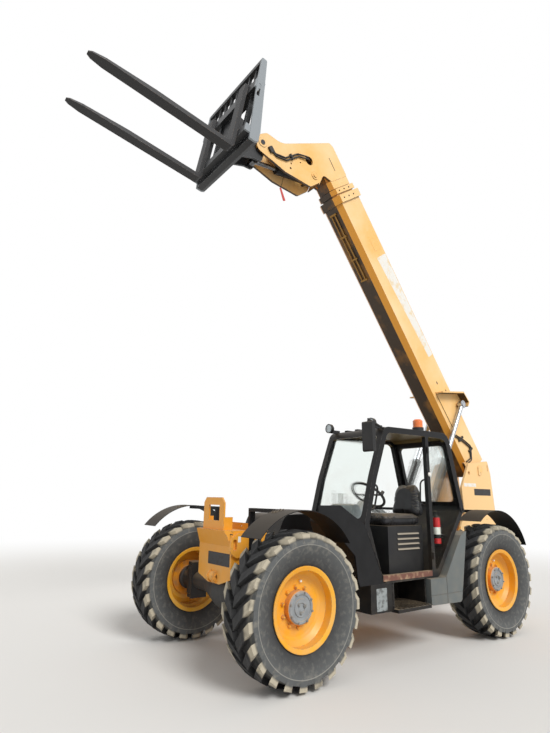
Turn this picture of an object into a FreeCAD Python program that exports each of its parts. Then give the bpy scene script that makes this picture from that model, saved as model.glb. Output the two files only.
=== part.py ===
import FreeCAD, Part
import os
from math import atan2, cos, pi, radians, sin, sqrt, tan

# Telescopic handler with a raised three-stage boom and pallet forks.
# Millimetres. +X is forward, +Y is the driver's left, +Z is up, the ground is z = 0.
# The origin lies on the ground under the middle of the whole outline at rest.

V = FreeCAD.Vector
os.makedirs("parts", exist_ok=True)

# Running gear
WHEELBASE = 2980
FRONT_AXLE_X = 1160
REAR_AXLE_X = FRONT_AXLE_X - WHEELBASE
TYRE_R = 615
TYRE_HALF_W = 202
TREAD_DEPTH = 50
LUGS_A_SIDE = 23
TREAD_GROOVE = 8
LUG_SWEEP_DEG = 17
TRACK_HALF = 945
RIM_FLANGE_R = 333
RIM_SEAT_R = 305
RIM_HALF_W = 165
RIM_WALL = 8
RIM_DISC_OUT = 40
RIM_DISC_T = 15
HUB_R = 133
HUB_FACE_OUT = 108
HUB_FLANGE_R = 185
HUB_FLANGE_T = 18
KINGPIN_Y = 800
KINGPIN_R = 28
PIN_PLAY = 0.05
FACE_PLAY = 0.3
KNUCKLE_R = 78
KNUCKLE_HALF_H = 140
EAR_GAP = 8
EAR_T = 34
EAR_HALF_W = 72
YOKE_Y = 690
YOKE_T = 24
AXLE_TUBE_R = 85
DIFF_R = 200
DIFF_HALF_W = 90
AXLE_PAD_HALF = 110

# Chassis
RAIL_OUT_Y = 305
RAIL_T = 25
RAIL_BOTTOM_Z = 500
RAIL_TOP_Z = 860
RAIL_DIP_Z = 716
CAB_REAR_DIP_X = -900
CAB_FRONT_DIP_X = 300
AXLE_SEAT_Z = 770
AXLE_NOTCH_HALF = 180
NOSE_X = 1390
NOSE_BOTTOM_Z = 690
NOSE_FOLD_Z = 1040
NOSE_TOP_Z = 1185
NOSE_CAP_OUT = 65
NOSE_CAP_HALF_W = 265
TAIL_X = -3190
TOWER_OUT_Y = 285
TOWER_T = 30
TOWER_BASE_Z = 1240
BELLY_T = 12
TOW_Z = 715
TOW_JAW_H = 90
TOW_BORE_R = 16
TOW_OUT = 64
NOSE_SHEET_T = 12
NOSE_BOSS_R = 46
NOSE_PIN_R = 19
NOSE_PIN_Z = NOSE_BOTTOM_Z + 62
LUG_T = 30
NOSE_BRACKET_OUT = 14
NOSE_BRACKET_T = 16
NOSE_BRACKET_TOP = 1490
TAIL_LAMP = (150, 270, 1120, 1190)
TAIL_LAMP_T = 26

# Boom, set out along its own line from the pivot: s runs along it and t stands up from it
BOOM_PIVOT_X = -2894
BOOM_PIVOT_Z = 1939
BOOM_ANGLE = 54
BOOM_HALF_W = 170
BOOM_TOP_T = 320
BOOM_SIDE_T = -85
BOOM_BOTTOM_T = -150
BOOM_BOTTOM_HALF_W = 105
STAGE_STEP = 27
OUTER_WALL = 10
STAGE_WALL = 8
OUTER_END_S = 4440
MID_END_S = 4535
INNER_END_S = 5050
MID_START_S = 330
INNER_START_S = 430
COLLAR_L = 110
COLLAR_PROUD = 26
BOOM_PIN_R = 45
BOOM_BOSS_R = 120
HEAD_PLATE_T = 30
HEAD_COLLAR_END_S = 4660
MID_COLLAR_L = 70
HOSE_HOLE_S = 5000
HOSE_HOLE_T = -300
HOSE_HOLE_R = 62
PIPE_R = 9
PIPE_STEP = 34
PIPE_BEND = 45
HEAD_HOSE_R = 10
HEAD_HOSE_STEP = 36
HEAD_HOSE_BEND = 40
CLIP_H = 24
UNDER_PIPE_START_S = 3260
UNDER_PIPE_END_S = 4230
UNDER_PIPE_Y = 30

# Lift rams, one each side of the boom
LIFT_BASE_X = -1480
LIFT_BASE_Z = 950
LIFT_PIN_S = 930
LIFT_PIN_T = 330
LIFT_Y = 245
LIFT_BARREL_R = 55
LIFT_ROD_R = 33
LIFT_EYE_R = 58
LIFT_EYE_HALF_W = 30
LIFT_CLOSED_L = 1353
LIFT_ROD_IN = 960
GLAND_PROUD = 4
EYE_GAP = 6
LIFT_EAR_GAP = 6
LIFT_PIN_R = 31
POCKET_SHEET_T = 10
POCKET_SINK = 5
POCKET_LIP = 20

# Head and fork carriage
TILT_PIN_S = 5375
TILT_PIN_T = -960
TILT_RAM_S = 4794
TILT_RAM_T = -331
TILT_LEVER = 200
TILT_LEVER_DEG = 226
TILT_BARREL_R = 58
TILT_ROD_R = 28
TILT_BARREL_L = 540
TILT_ROD_IN = 320
TILT_BARREL_EYE = (56, 40)
TILT_ROD_EYE = (46, 38)
TILT_STUB_R = 26
TILT_STUB_IN_Y = 44
HEAD_PIN_R = 32
HEAD_PIN_HALF_L = 158
FORK_ANGLE = 10.5
FRAME_BACK = 380
FRAME_HALF_W = 600
FRAME_TOP = 618
FRAME_LOW = -520
BEAM_BACK = 285
GUARD_BARS = 8
GUARD_BAR_HALF_W = 9
FRAME_DEPTH = 95
BEAM_H = 140
MID_RAIL_LOW = 170
MID_RAIL_TOP = 290
TOP_RAIL_H = 60
END_PLATE_T = 20
STILE_Y = 460
STILE_HALF_W = 20
FORK_Y = 365
FORK_W = 125
FORK_T = 50
FORK_LOW = -610
FORK_TIP = 2100
FORK_TIP_T = 14
FORK_SHANK_TOP = 316
FORK_TAPER_L = 160
HITCH_PLATE_Y = 110
HITCH_PLATE_T = 26

# Cab
CAB_IN_Y = 262
CAB_OUT_Y = 1060
CAB_WALL = 45
CAB_GLASS_T = 6
CAB_GLASS_INSET = 14
SILL_Z = 722
ROOF_Z = 2235
FRAME_POST_W = 62
WINDSCREEN_Z = (1310, 2140)
REAR_PANE_Z = (1480, 2110)
WINDOW_CORNER_R = 50
DOOR_POST_X = (-650, -600)
SEAT_BOX_X = (-640, -90)
SEAT_BOX_Y = (400, 920)
LOUVRE_X = (-573, -231)
LOUVRE_Z = (991, 1041, 1091, 1141)
SEAT_CUSHION_Y = (430, 890)
SEAT_BACK_Y = (450, 880)
DASH_Y = (500, 820)
STEER_HUB = (-95, 660, 1540)
STEER_TILT = 40
STEER_RING_R = 185
STEER_RIM_R = 14
STEER_COLUMN_R = 24
STEER_COLUMN_L = 420
EXTINGUISHER_AT = (-845, 960, 1040)
EXTINGUISHER_R = 40
EXTINGUISHER_L = 270
LAMP_YS = (330, 965)
BEACON_AT = (-575, 990)
BEACON_R = 54
MIRROR_STEM_AT = (312, 1072)
MIRROR_STEM_R = 11
RIB_YS = (360, 520, 680, 840)
RIB_W = 45
CATCH_AT = (-1192, 1393)
CATCH_R = 30
CATCH_HOLE_R = 16
HINGE_X = -616
HINGE_ZS = (900, 1990)
HINGE_H = 70

# Engine pod on the right
POD_FRONT_X = 380
POD_REAR_X = -1040
POD_IN_Y = -335
POD_OUT_Y = -1080
POD_BOTTOM_Z = 520
POD_SPLIT_Z = 1020
POD_TOP_Z = 1330
POD_WALL = 20
POD_HUMP_X = -500
POD_HANGER_Z = (650, 900)
HINGE_XS = (-700, 40)
HINGE_EAR_W = 34
HINGE_STRAP_W = 60
VENT_OUT = 9
TUB_VENT = (420, 16)
LID_VENT = (300, 14)
STACK_Y = -800
STACK_R = 38
STACK_BORE_R = 32
STACK_BOX_R = 52
ENGINE_BLOCK = (-750, 100, -950, -480)
BONNET_GAP = 6
HINGE_Y = POD_IN_Y + 17
HINGE_Z = POD_SPLIT_Z + 3
HINGE_PIN_R = 9
HINGE_KNUCKLE_R = 13

MUDGUARD_T = 6
MUDGUARD_IN_Y = 850
MUDGUARD_OUT_Y = 1135
# Each arch is its own circle, set a little above the wheel's middle
FRONT_ARCH = (1180, 782, 615)
REAR_ARCH = (-1795, 765, 625)
WING_Y = (1046, 1058)
GUARD_ARM_HALF_W = 30
GUARD_ARM_H = 34

# Boxes below the cab's sill
TANK_Y = (560, 1110)
TANK_SEAM_Z = 560
TANK_SEAM_X = -760
SEAM_W = 8
BATTERY_BOX = (30, 330, 700, 1055, 470)
STEP_X = (-470, 30)
STEP_IN_Y = 700
STEP_OUT_Y = 1120
STEP_Z = (460, 490)
STEP_CHEEK_T = 15
CAB_MOUNT_XS = (-640, -60)
CAB_MOUNT_L = 120
CAB_MOUNT_OUT_Y = 560

SEAT_TOP_Z = 1340
SEAT_BOX_TOP_Z = 1230


def save(node, shape):
    """Write one sub-part and say how big it is."""
    shape.exportStep("parts/" + node + ".step")
    b = shape.BoundBox
    print(f"{node:18s} {len(shape.Solids):3d} solids  {b.XLength:6.0f} x {b.YLength:6.0f} x {b.ZLength:6.0f}")


def box(x0, x1, y0, y1, z0, z1):
    """A block between two corners, given in any order."""
    low = V(min(x0, x1), min(y0, y1), min(z0, z1))
    return Part.makeBox(abs(x1 - x0), abs(y1 - y0), abs(z1 - z0), low)


def fuse(shapes):
    """One clean solid from several that touch or overlap."""
    first, *rest = shapes
    return first.fuse(rest).removeSplitter() if rest else first


def rod_between(a, b, r):
    """A round bar from point a to point b."""
    run = b - a
    return Part.makeCylinder(r, run.Length, a, run)


def cross_pin(x, z, y0, y1, r):
    """A round bar across the machine."""
    return Part.makeCylinder(r, abs(y1 - y0), V(x, min(y0, y1), z), V(0, 1, 0))


def outline(corners, closed=True):
    """A wire in the XZ plane from (x, z, corner radius) rows."""
    rows = [(V(c[0], 0, c[1]), c[2] if len(c) > 2 else 0) for c in corners]
    edges, last = [], None
    first = None
    count = len(rows)
    for i, (point, r) in enumerate(rows):
        before = rows[i - 1][0] - point
        after = rows[(i + 1) % count][0] - point
        turn = pi - before.getAngle(after)
        if r and turn > 1e-3:
            back = r * tan(turn / 2)
            before.normalize()
            after.normalize()
            start, end = point + before * back, point + after * back
            middle = before + after
            middle.normalize()
            top = point + middle * (r / cos(turn / 2) - r)
            corner = [Part.Arc(start, top, end).toShape()]
        else:
            start = end = point
            corner = []
        if last is not None and (start - last).Length > 1e-6:
            edges.append(Part.LineSegment(last, start).toShape())
        edges += corner
        first = first or start
        last = end
    if closed and (first - last).Length > 1e-6:
        edges.append(Part.LineSegment(last, first).toShape())
    return Part.Wire(edges)


def plate(corners, y0, y1):
    """A flat plate with the given side view, from y0 to y1."""
    face = Part.Face(outline(corners))
    face.translate(V(0, min(y0, y1), 0))
    return face.extrude(V(0, abs(y1 - y0), 0))


def both_sides(shape):
    """The shape and its mirror image across the machine's middle."""
    return [shape, shape.mirror(V(0, 0, 0), V(0, 1, 0))]


def turned(profile, origin):
    """A solid of revolution about the Y line through origin, from (y, radius) rows."""
    points = [V(origin.x, y, origin.z + r) for y, r in profile]
    face = Part.Face(Part.makePolygon(points + points[:1]))
    return face.revolve(origin, V(0, 1, 0), 360)


def polyhedron(triangles):
    """A solid from triples of points."""
    faces = [Part.Face(Part.makePolygon([a, b, c, a])) for a, b, c in triangles]
    skin = Part.Compound(faces)
    skin.sewShape()
    solid = Part.Solid(skin.Shells[0])
    return solid if solid.Volume > 0 else solid.reversed()


def on_boom(shape):
    """Swing a shape drawn along the level boom up to the resting angle."""
    placed = shape.copy()
    placed.rotate(V(0, 0, 0), V(0, 1, 0), -BOOM_ANGLE)
    placed.translate(V(BOOM_PIVOT_X, 0, BOOM_PIVOT_Z))
    return placed


def boom_point(s, t):
    """The place of a point that is given along the boom."""
    a = radians(BOOM_ANGLE)
    return V(BOOM_PIVOT_X + s * cos(a) - t * sin(a), 0, BOOM_PIVOT_Z + s * sin(a) + t * cos(a))


def on_carriage(shape):
    """Set a shape drawn about the carriage pin, with level forks, at its resting tilt."""
    placed = shape.copy()
    placed.rotate(V(0, 0, 0), V(0, 1, 0), -FORK_ANGLE)
    placed.translate(boom_point(TILT_PIN_S, TILT_PIN_T))
    return placed


# Wheels

def tyre_solid():
    """A traction tyre about the Y axis: two staggered rows of swept lugs on a plain carcass."""
    # y, radius on a lug, radius between lugs
    crown = [(TREAD_GROOVE, TYRE_R, TYRE_R - TREAD_DEPTH),
             (0.55 * TYRE_HALF_W, TYRE_R - 4, TYRE_R - TREAD_DEPTH - 4),
             (0.96 * TYRE_HALF_W, TYRE_R - 24, TYRE_R - TREAD_DEPTH - 20)]
    bead_r = (RIM_SEAT_R + FACE_PLAY) / cos(pi / (2 * LUGS_A_SIDE))
    # y, radius
    wall = [(TYRE_HALF_W, TYRE_R - 110), (RIM_HALF_W - 26, bead_r)]
    cells = 2 * LUGS_A_SIDE
    sweep = radians(LUG_SWEEP_DEG) / crown[-1][0]

    def at(cell, y, r, side):
        angle = 2 * pi * cell / cells - pi / 2 + sweep * y
        return V(r * cos(angle), side * y, r * sin(angle))

    triangles = []

    def quad(a, b, c, d, side):
        corners = [(a, b, c), (a, c, d)]
        triangles.extend(corners if side > 0 else [(p, r, q) for p, q, r in corners])

    for side in (1, -1):
        for cell in range(cells):
            raised = cell % 2 == (0 if side > 0 else 1)
            column = 1 if raised else 2
            for inner, outer in zip(crown, crown[1:]):
                quad(at(cell, inner[0], inner[column], side), at(cell + 1, inner[0], inner[column], side),
                     at(cell + 1, outer[0], outer[column], side), at(cell, outer[0], outer[column], side),
                     side)
            edge = crown[-1]
            rings = [(edge[0], edge[column])] + wall
            for (y0, r0), (y1, r1) in zip(rings, rings[1:]):
                quad(at(cell, y0, r0, side), at(cell + 1, y0, r0, side),
                     at(cell + 1, y1, r1, side), at(cell, y1, r1, side), side)
            flank = side if raised else -side
            for inner, outer in zip(crown, crown[1:]):
                quad(at(cell, inner[0], inner[1], side), at(cell, outer[0], outer[1], side),
                     at(cell, outer[0], outer[2], side), at(cell, inner[0], inner[2], side), flank)
            toe = (at(cell, edge[0], edge[1], side), at(cell, *wall[0], side),
                   at(cell, edge[0], edge[2], side))
            triangles.append(toe if flank > 0 else toe[::-1])
    groove, top_r, low_r = crown[0]
    bead_y = wall[-1][0]
    for cell in range(cells):
        side = -1 if cell % 2 else 1
        quad(at(cell, groove, top_r, side), at(cell, groove, low_r, side),
             at(cell + 1, groove, low_r, side), at(cell + 1, groove, top_r, side), side)
        quad(at(cell, groove, low_r, -1), at(cell + 1, groove, low_r, -1),
             at(cell + 1, groove, low_r, 1), at(cell, groove, low_r, 1), 1)
        quad(at(cell, bead_y, bead_r, 1), at(cell + 1, bead_y, bead_r, 1),
             at(cell + 1, bead_y, bead_r, -1), at(cell, bead_y, bead_r, -1), 1)
    return polyhedron(triangles)


def rim_solid():
    """A deep-dished disc wheel about the Y axis, outer face towards +Y."""
    lip = RIM_HALF_W
    seat = RIM_SEAT_R
    well = seat - 22
    disc = RIM_DISC_OUT
    outer_side = [(-lip, RIM_FLANGE_R), (-lip + 10, RIM_FLANGE_R), (-lip + 16, seat), (-85, seat - 2),
                  (-65, well),
                  (65, well), (85, seat - 2), (lip - 16, seat), (lip - 10, RIM_FLANGE_R), (lip, RIM_FLANGE_R)]
    front = [(lip, RIM_FLANGE_R - RIM_WALL), (lip - 10, seat - 10), (80, seat - 12),
             (disc + 25, well - RIM_WALL),
             (disc + 8, well - 30), (disc, well - 55), (disc, HUB_R + 1)]
    back = [(disc - RIM_DISC_T, HUB_R + 1), (disc - RIM_DISC_T, well - 55), (disc - 8, well - 26),
            (disc - 2, well - RIM_WALL), (-60, well - RIM_WALL), (-80, seat - 12), (-lip + 10, seat - 10),
            (-lip, RIM_FLANGE_R - RIM_WALL)]
    return turned(outer_side + front + back, V(0, 0, 0))


def hub_solid():
    """A planetary hub about the Y axis that the wheel disc bolts to."""
    back = KINGPIN_Y + 135 - TRACK_HALF + FACE_PLAY
    disc_back = RIM_DISC_OUT - RIM_DISC_T
    face = HUB_FACE_OUT
    profile = [(back, 0), (back, 110), (disc_back - HUB_FLANGE_T, 125),
               (disc_back - HUB_FLANGE_T, HUB_FLANGE_R),
               (disc_back, HUB_FLANGE_R), (disc_back, HUB_R), (face - 14, HUB_R), (face, HUB_R - 14),
               (face, 104), (face - 9, 99), (face - 9, 74), (face, 69), (face, 40), (face - 8, 36),
               (face - 8, 0)]
    return turned(profile, V(0, 0, 0))


def knuckle_solid():
    """A steering swivel about the vertical kingpin line at the origin, spindle towards +Y."""
    body = Part.makeCylinder(KNUCKLE_R, 2 * KNUCKLE_HALF_H, V(0, 0, -KNUCKLE_HALF_H))
    pin_l = 2 * (KNUCKLE_HALF_H + EAR_GAP + EAR_T)
    pin = Part.makeCylinder(KINGPIN_R - PIN_PLAY, pin_l, V(0, 0, -pin_l / 2))
    spindle = turned([(0, 0), (0, 74), (95, 100), (105, 122), (135, 122), (135, 0)], V(0, 0, 0))
    arm = box(-190, 0, -20, 20, -24, 8)
    boss = Part.makeCylinder(30, 32, V(-190, 0, -24))
    return fuse([body, pin, spindle, arm, boss])


def wheel_set():
    """Four tyres, rims, hubs and swivels, each at its corner."""
    tyre, rim, hub, knuckle = tyre_solid(), rim_solid(), hub_solid(), knuckle_solid()
    # corner name, axle x, side, which way the steering arm points
    corners = [("front_left", FRONT_AXLE_X, 1, 1), ("front_right", FRONT_AXLE_X, -1, 1),
               ("rear_left", REAR_AXLE_X, 1, -1), ("rear_right", REAR_AXLE_X, -1, -1)]
    for corner, x, side, arm in corners:
        for name, shape, y in (("tyre_", tyre, TRACK_HALF), ("rim_", rim, TRACK_HALF),
                               ("hub_", hub, TRACK_HALF), ("knuckle_", knuckle, KINGPIN_Y)):
            placed = shape.copy()
            if name == "knuckle_" and arm < 0:
                placed = placed.mirror(V(0, 0, 0), V(1, 0, 0))
            if side < 0:
                placed = placed.mirror(V(0, 0, 0), V(0, 1, 0))
            placed.translate(V(x, side * y, TYRE_R))
            save(name + corner, placed)


def axle_solid(x):
    """A beam axle with its middle housing, chassis pads and kingpin yokes."""
    end = YOKE_Y
    profile = [(-end, 0), (-end, AXLE_TUBE_R), (-420, AXLE_TUBE_R + 10), (-170, DIFF_R - 22),
               (-DIFF_HALF_W, DIFF_R),
               (DIFF_HALF_W, DIFF_R), (170, DIFF_R - 22), (420, AXLE_TUBE_R + 10), (end, AXLE_TUBE_R),
               (end, 0)]
    pieces = [turned(profile, V(x, 0, TYRE_R))]
    pad_y = RAIL_OUT_Y - RAIL_T
    pieces += both_sides(box(x - AXLE_PAD_HALF, x + AXLE_PAD_HALF, pad_y - 35, RAIL_OUT_Y + 20, TYRE_R,
                             AXLE_SEAT_Z))
    ear_low = KNUCKLE_HALF_H + EAR_GAP
    back = box(x - 95, x + 95, end, end + YOKE_T, TYRE_R - ear_low - EAR_T, TYRE_R + ear_low + EAR_T)
    yoke = [back]
    for up in (ear_low, -ear_low - EAR_T):
        web = box(x - EAR_HALF_W, x + EAR_HALF_W, end, KINGPIN_Y, TYRE_R + up, TYRE_R + up + EAR_T)
        nose = Part.makeCylinder(EAR_HALF_W, EAR_T, V(x, KINGPIN_Y, TYRE_R + up))
        yoke += [web, nose]
    bore = Part.makeCylinder(KINGPIN_R, 2 * (ear_low + EAR_T), V(x, KINGPIN_Y, TYRE_R - ear_low - EAR_T))
    yoke = fuse(yoke).cut(bore)
    return fuse(pieces + both_sides(yoke))


# Chassis

def tower_plate():
    """The boom tower's left plate, from the deck up to the pivot."""
    px, pz = BOOM_PIVOT_X, BOOM_PIVOT_Z
    # x from the pivot, z from the pivot, corner radius
    corners = [(-309, TOWER_BASE_Z - pz, 0), (-309, -600, 0), (-262, -56, 40), (-204, 133, 30),
               (280, 85, 60), (495, -264, 60), (468, TOWER_BASE_Z - pz, 0)]
    rows = [(px + x, pz + z, r) for x, z, r in corners]
    side = plate(rows, TOWER_OUT_Y - TOWER_T, TOWER_OUT_Y)
    hole = cross_pin(px + 290, pz - 56, 0, TOWER_OUT_Y + 5, 24)
    bore = cross_pin(px, pz, 0, TOWER_OUT_Y + 5, BOOM_PIN_R + PIN_PLAY)
    slot = plate([(px - 202, pz - 10, 6), (px - 188, pz - 10, 6), (px - 188, pz + 80, 6),
                  (px - 202, pz + 80, 6)],
                 0, TOWER_OUT_Y + 5)
    return side.cut([hole, bore, slot])


def rail_plate():
    """The left main plate, arched over both axles."""
    notch = AXLE_NOTCH_HALF
    front, rear = FRONT_AXLE_X, REAR_AXLE_X
    corners = [(TAIL_X, RAIL_BOTTOM_Z + 190), (TAIL_X, TOWER_BASE_Z), (BOOM_PIVOT_X + 560, TOWER_BASE_Z),
               (BOOM_PIVOT_X + 760, RAIL_TOP_Z + 60), (LIFT_BASE_X - 90, RAIL_TOP_Z),
               (LIFT_BASE_X - 45, LIFT_BASE_Z + 10), (LIFT_BASE_X - 20, LIFT_BASE_Z + 42),
               (LIFT_BASE_X + 45, LIFT_BASE_Z + 42), (LIFT_BASE_X + 90, RAIL_TOP_Z),
               (CAB_REAR_DIP_X, RAIL_TOP_Z), (CAB_REAR_DIP_X + 40, RAIL_DIP_Z),
               (CAB_FRONT_DIP_X - 40, RAIL_DIP_Z),
               (CAB_FRONT_DIP_X, RAIL_TOP_Z), (NOSE_X - 460, RAIL_TOP_Z),
               (NOSE_X - 400, NOSE_TOP_Z - NOSE_SHEET_T),
               (NOSE_X - NOSE_SHEET_T, NOSE_TOP_Z - NOSE_SHEET_T),
               (NOSE_X - NOSE_SHEET_T, NOSE_BOTTOM_Z + 60),
               (front + notch, AXLE_SEAT_Z), (front - notch, AXLE_SEAT_Z),
               (front - notch - 130, RAIL_BOTTOM_Z),
               (rear + notch + 130, RAIL_BOTTOM_Z), (rear + notch, AXLE_SEAT_Z), (rear - notch, AXLE_SEAT_Z),
               (rear - notch - 160, RAIL_BOTTOM_Z + 190)]
    return plate(corners, RAIL_OUT_Y - RAIL_T, RAIL_OUT_Y)


def nose_shell():
    """The bluff front: a face plate folded back at the top, with a pin boss below."""
    w = RAIL_OUT_Y
    face = Part.Face(Part.makePolygon([V(NOSE_X, y, z) for y, z in (
        (-w, NOSE_BOTTOM_Z + 60), (-w * 0.35, NOSE_BOTTOM_Z), (w * 0.35, NOSE_BOTTOM_Z),
        (w, NOSE_BOTTOM_Z + 60),
        (w, NOSE_FOLD_Z), (-w, NOSE_FOLD_Z), (-w, NOSE_BOTTOM_Z + 60))]))
    front = face.extrude(V(-NOSE_SHEET_T, 0, 0))
    deck = box(NOSE_X - 420, NOSE_X, -w, w, NOSE_TOP_Z - NOSE_SHEET_T, NOSE_TOP_Z)
    pin_x = NOSE_X - NOSE_SHEET_T / 2
    boss = cross_pin(pin_x, NOSE_PIN_Z, -58, 58, NOSE_BOSS_R)
    bore = cross_pin(pin_x, NOSE_PIN_Z, -60, 60, NOSE_PIN_R)
    collars = both_sides(cross_pin(pin_x, NOSE_PIN_Z, 40, 52, NOSE_BOSS_R + NOSE_SHEET_T))
    return fuse([front, deck, boss, nose_cap()] + collars).cut(bore)


def nose_cap():
    """The closed box over the nose, which leans forward and draws in towards its top."""
    back, low, top = NOSE_X - NOSE_SHEET_T, NOSE_FOLD_Z, NOSE_TOP_Z
    foot = [V(back, y, low) for y in (-RAIL_OUT_Y, RAIL_OUT_Y)]
    foot += [V(NOSE_X, y, low) for y in (RAIL_OUT_Y, -RAIL_OUT_Y)]
    lip_x, lip_y = NOSE_X + NOSE_CAP_OUT, NOSE_CAP_HALF_W
    head = [V(back, -RAIL_OUT_Y, top), V(back, RAIL_OUT_Y, top), V(lip_x, lip_y, top), V(lip_x, -lip_y, top)]
    triangles = [(foot[0], foot[1], foot[2]), (foot[0], foot[2], foot[3]),
                 (head[2], head[1], head[0]), (head[3], head[2], head[0])]
    for i in range(4):
        j = (i + 1) % 4
        triangles += [(foot[i], head[i], head[j]), (foot[i], head[j], foot[j])]
    return polyhedron(triangles)


def nose_fittings():
    """The tie-down lug on the left of the nose and the upright plate across its deck."""
    nx, fz = NOSE_X, NOSE_FOLD_Z
    # x, z, corner radius
    lug = plate([(nx - 174, fz - 90, 20), (nx - 40, fz - 97, 40), (nx + 31, fz - 50, 40),
                 (nx + 20, fz + 70, 40),
                 (nx - 60, fz + 125, 40), (nx - 174, fz + 110, 20)], RAIL_OUT_Y, RAIL_OUT_Y + LUG_T)
    eye = plate([(nx - 40, fz - 30, 20), (nx + 2, fz - 30, 20), (nx + 2, fz + 68, 20),
                 (nx - 40, fz + 68, 20)],
                RAIL_OUT_Y - 5, RAIL_OUT_Y + LUG_T + 5)
    upright = box(nx - 216, nx - 200, -166, RAIL_OUT_Y, NOSE_TOP_Z - 5, NOSE_TOP_Z + 65)
    hole = Part.makeCylinder(14, 40, V(nx - 230, 155, NOSE_TOP_Z + 36), V(1, 0, 0))
    return [lug.cut(eye), upright.cut(hole)]


def chassis_solid():
    """Rails, tower, nose, cross-members and the ram brackets as one weldment."""
    pieces = both_sides(fuse([tower_plate(), rail_plate()]))
    inner = RAIL_OUT_Y - RAIL_T
    pieces.append(nose_shell())
    # cross-members: x from, x to, z from, z to
    members = [(TAIL_X, TAIL_X + 30, RAIL_BOTTOM_Z + 190, TOWER_BASE_Z),
               (TAIL_X + 30, BOOM_PIVOT_X + 560, TOWER_BASE_Z - 20, TOWER_BASE_Z),
               (REAR_AXLE_X + 420, FRONT_AXLE_X - 420, RAIL_BOTTOM_Z, RAIL_BOTTOM_Z + BELLY_T),
               (LIFT_BASE_X + 130, LIFT_BASE_X + 150, RAIL_BOTTOM_Z, RAIL_TOP_Z + 20),
               (FRONT_AXLE_X - 260, FRONT_AXLE_X - 240, AXLE_SEAT_Z, RAIL_TOP_Z),
               (FRONT_AXLE_X - 240, NOSE_X - NOSE_SHEET_T, RAIL_TOP_Z - BELLY_T, RAIL_TOP_Z)]
    pieces += [box(x0, x1, -inner, inner, z0, z1) for x0, x1, z0, z1 in members]
    ear_y = LIFT_Y - LIFT_EYE_HALF_W - LIFT_EAR_GAP
    ear = plate([(LIFT_BASE_X - 45, LIFT_BASE_Z - 60, 0), (LIFT_BASE_X - 45, LIFT_BASE_Z + 45, 40),
                 (LIFT_BASE_X + 45, LIFT_BASE_Z + 45, 30), (LIFT_BASE_X + 130, LIFT_BASE_Z + 20, 0),
                 (LIFT_BASE_X + 130, LIFT_BASE_Z - 200, 0)], ear_y - RAIL_T, ear_y)
    ram_pin = cross_pin(LIFT_BASE_X, LIFT_BASE_Z, ear_y - RAIL_T, RAIL_OUT_Y, LIFT_EYE_R / 2)
    pieces += both_sides(ear) + both_sides(ram_pin)
    hitch = box(TAIL_X - TOW_OUT, TAIL_X, -60, 60, TOW_Z, TOW_Z + TOW_JAW_H)
    hitch = hitch.cut(Part.makeCylinder(TOW_BORE_R, TOW_JAW_H, V(TAIL_X - TOW_OUT / 2, 0, TOW_Z)))
    pieces.append(hitch)
    return fuse(pieces + nose_fittings() + tower_fittings())


def tower_fittings():
    """A collar round each end of the boom pin, the bar that holds the pin, and the tail lamps' shelf."""
    px, pz, face = BOOM_PIVOT_X, BOOM_PIVOT_Z, TOWER_OUT_Y
    bore = cross_pin(px, pz, face - 3, face + 20, BOOM_PIN_R + PIN_PLAY)
    collar = cross_pin(px, pz, face - 2, face + 8, BOOM_PIN_R + 22).cut(bore)
    bar = plate([(px + 30, pz + 52, 10), (px + 62, pz + 46, 10), (px + 62, pz - 76, 20),
                 (px + 10, pz - 92, 10),
                 (px + 10, pz - 62, 10), (px + 30, pz - 58, 10)], face - 2, face + 14).cut(bore)
    return both_sides(collar) + both_sides(bar)


def build_chassis():
    save("chassis", chassis_solid())
    save("front_axle", axle_solid(FRONT_AXLE_X))
    save("rear_axle", axle_solid(REAR_AXLE_X))


# Boom

def boom_section(inset):
    """The boom's six-sided section, drawn in the YZ plane and moved inwards by inset."""
    wide, low_wide = BOOM_HALF_W, BOOM_BOTTOM_HALF_W
    slope = atan2(BOOM_SIDE_T - BOOM_BOTTOM_T, wide - low_wide)
    side_t = BOOM_SIDE_T + inset * tan(pi / 4 - slope / 2)
    low_w = low_wide - inset * tan(slope / 2)
    w, top, low = wide - inset, BOOM_TOP_T - inset, BOOM_BOTTOM_T + inset
    rows = [(-w, top), (w, top), (w, side_t), (low_w, low), (-low_w, low), (-w, side_t), (-w, top)]
    return Part.makePolygon([V(0, y, z) for y, z in rows])


def boom_tube(start, end, inset, wall):
    """A length of boom section with the given wall."""
    run = V(end - start, 0, 0)
    outer = Part.Face(boom_section(inset)).extrude(run)
    inner = Part.Face(boom_section(inset + wall)).extrude(run)
    tube = outer.cut(inner)
    tube.translate(V(start, 0, 0))
    return tube


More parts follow.
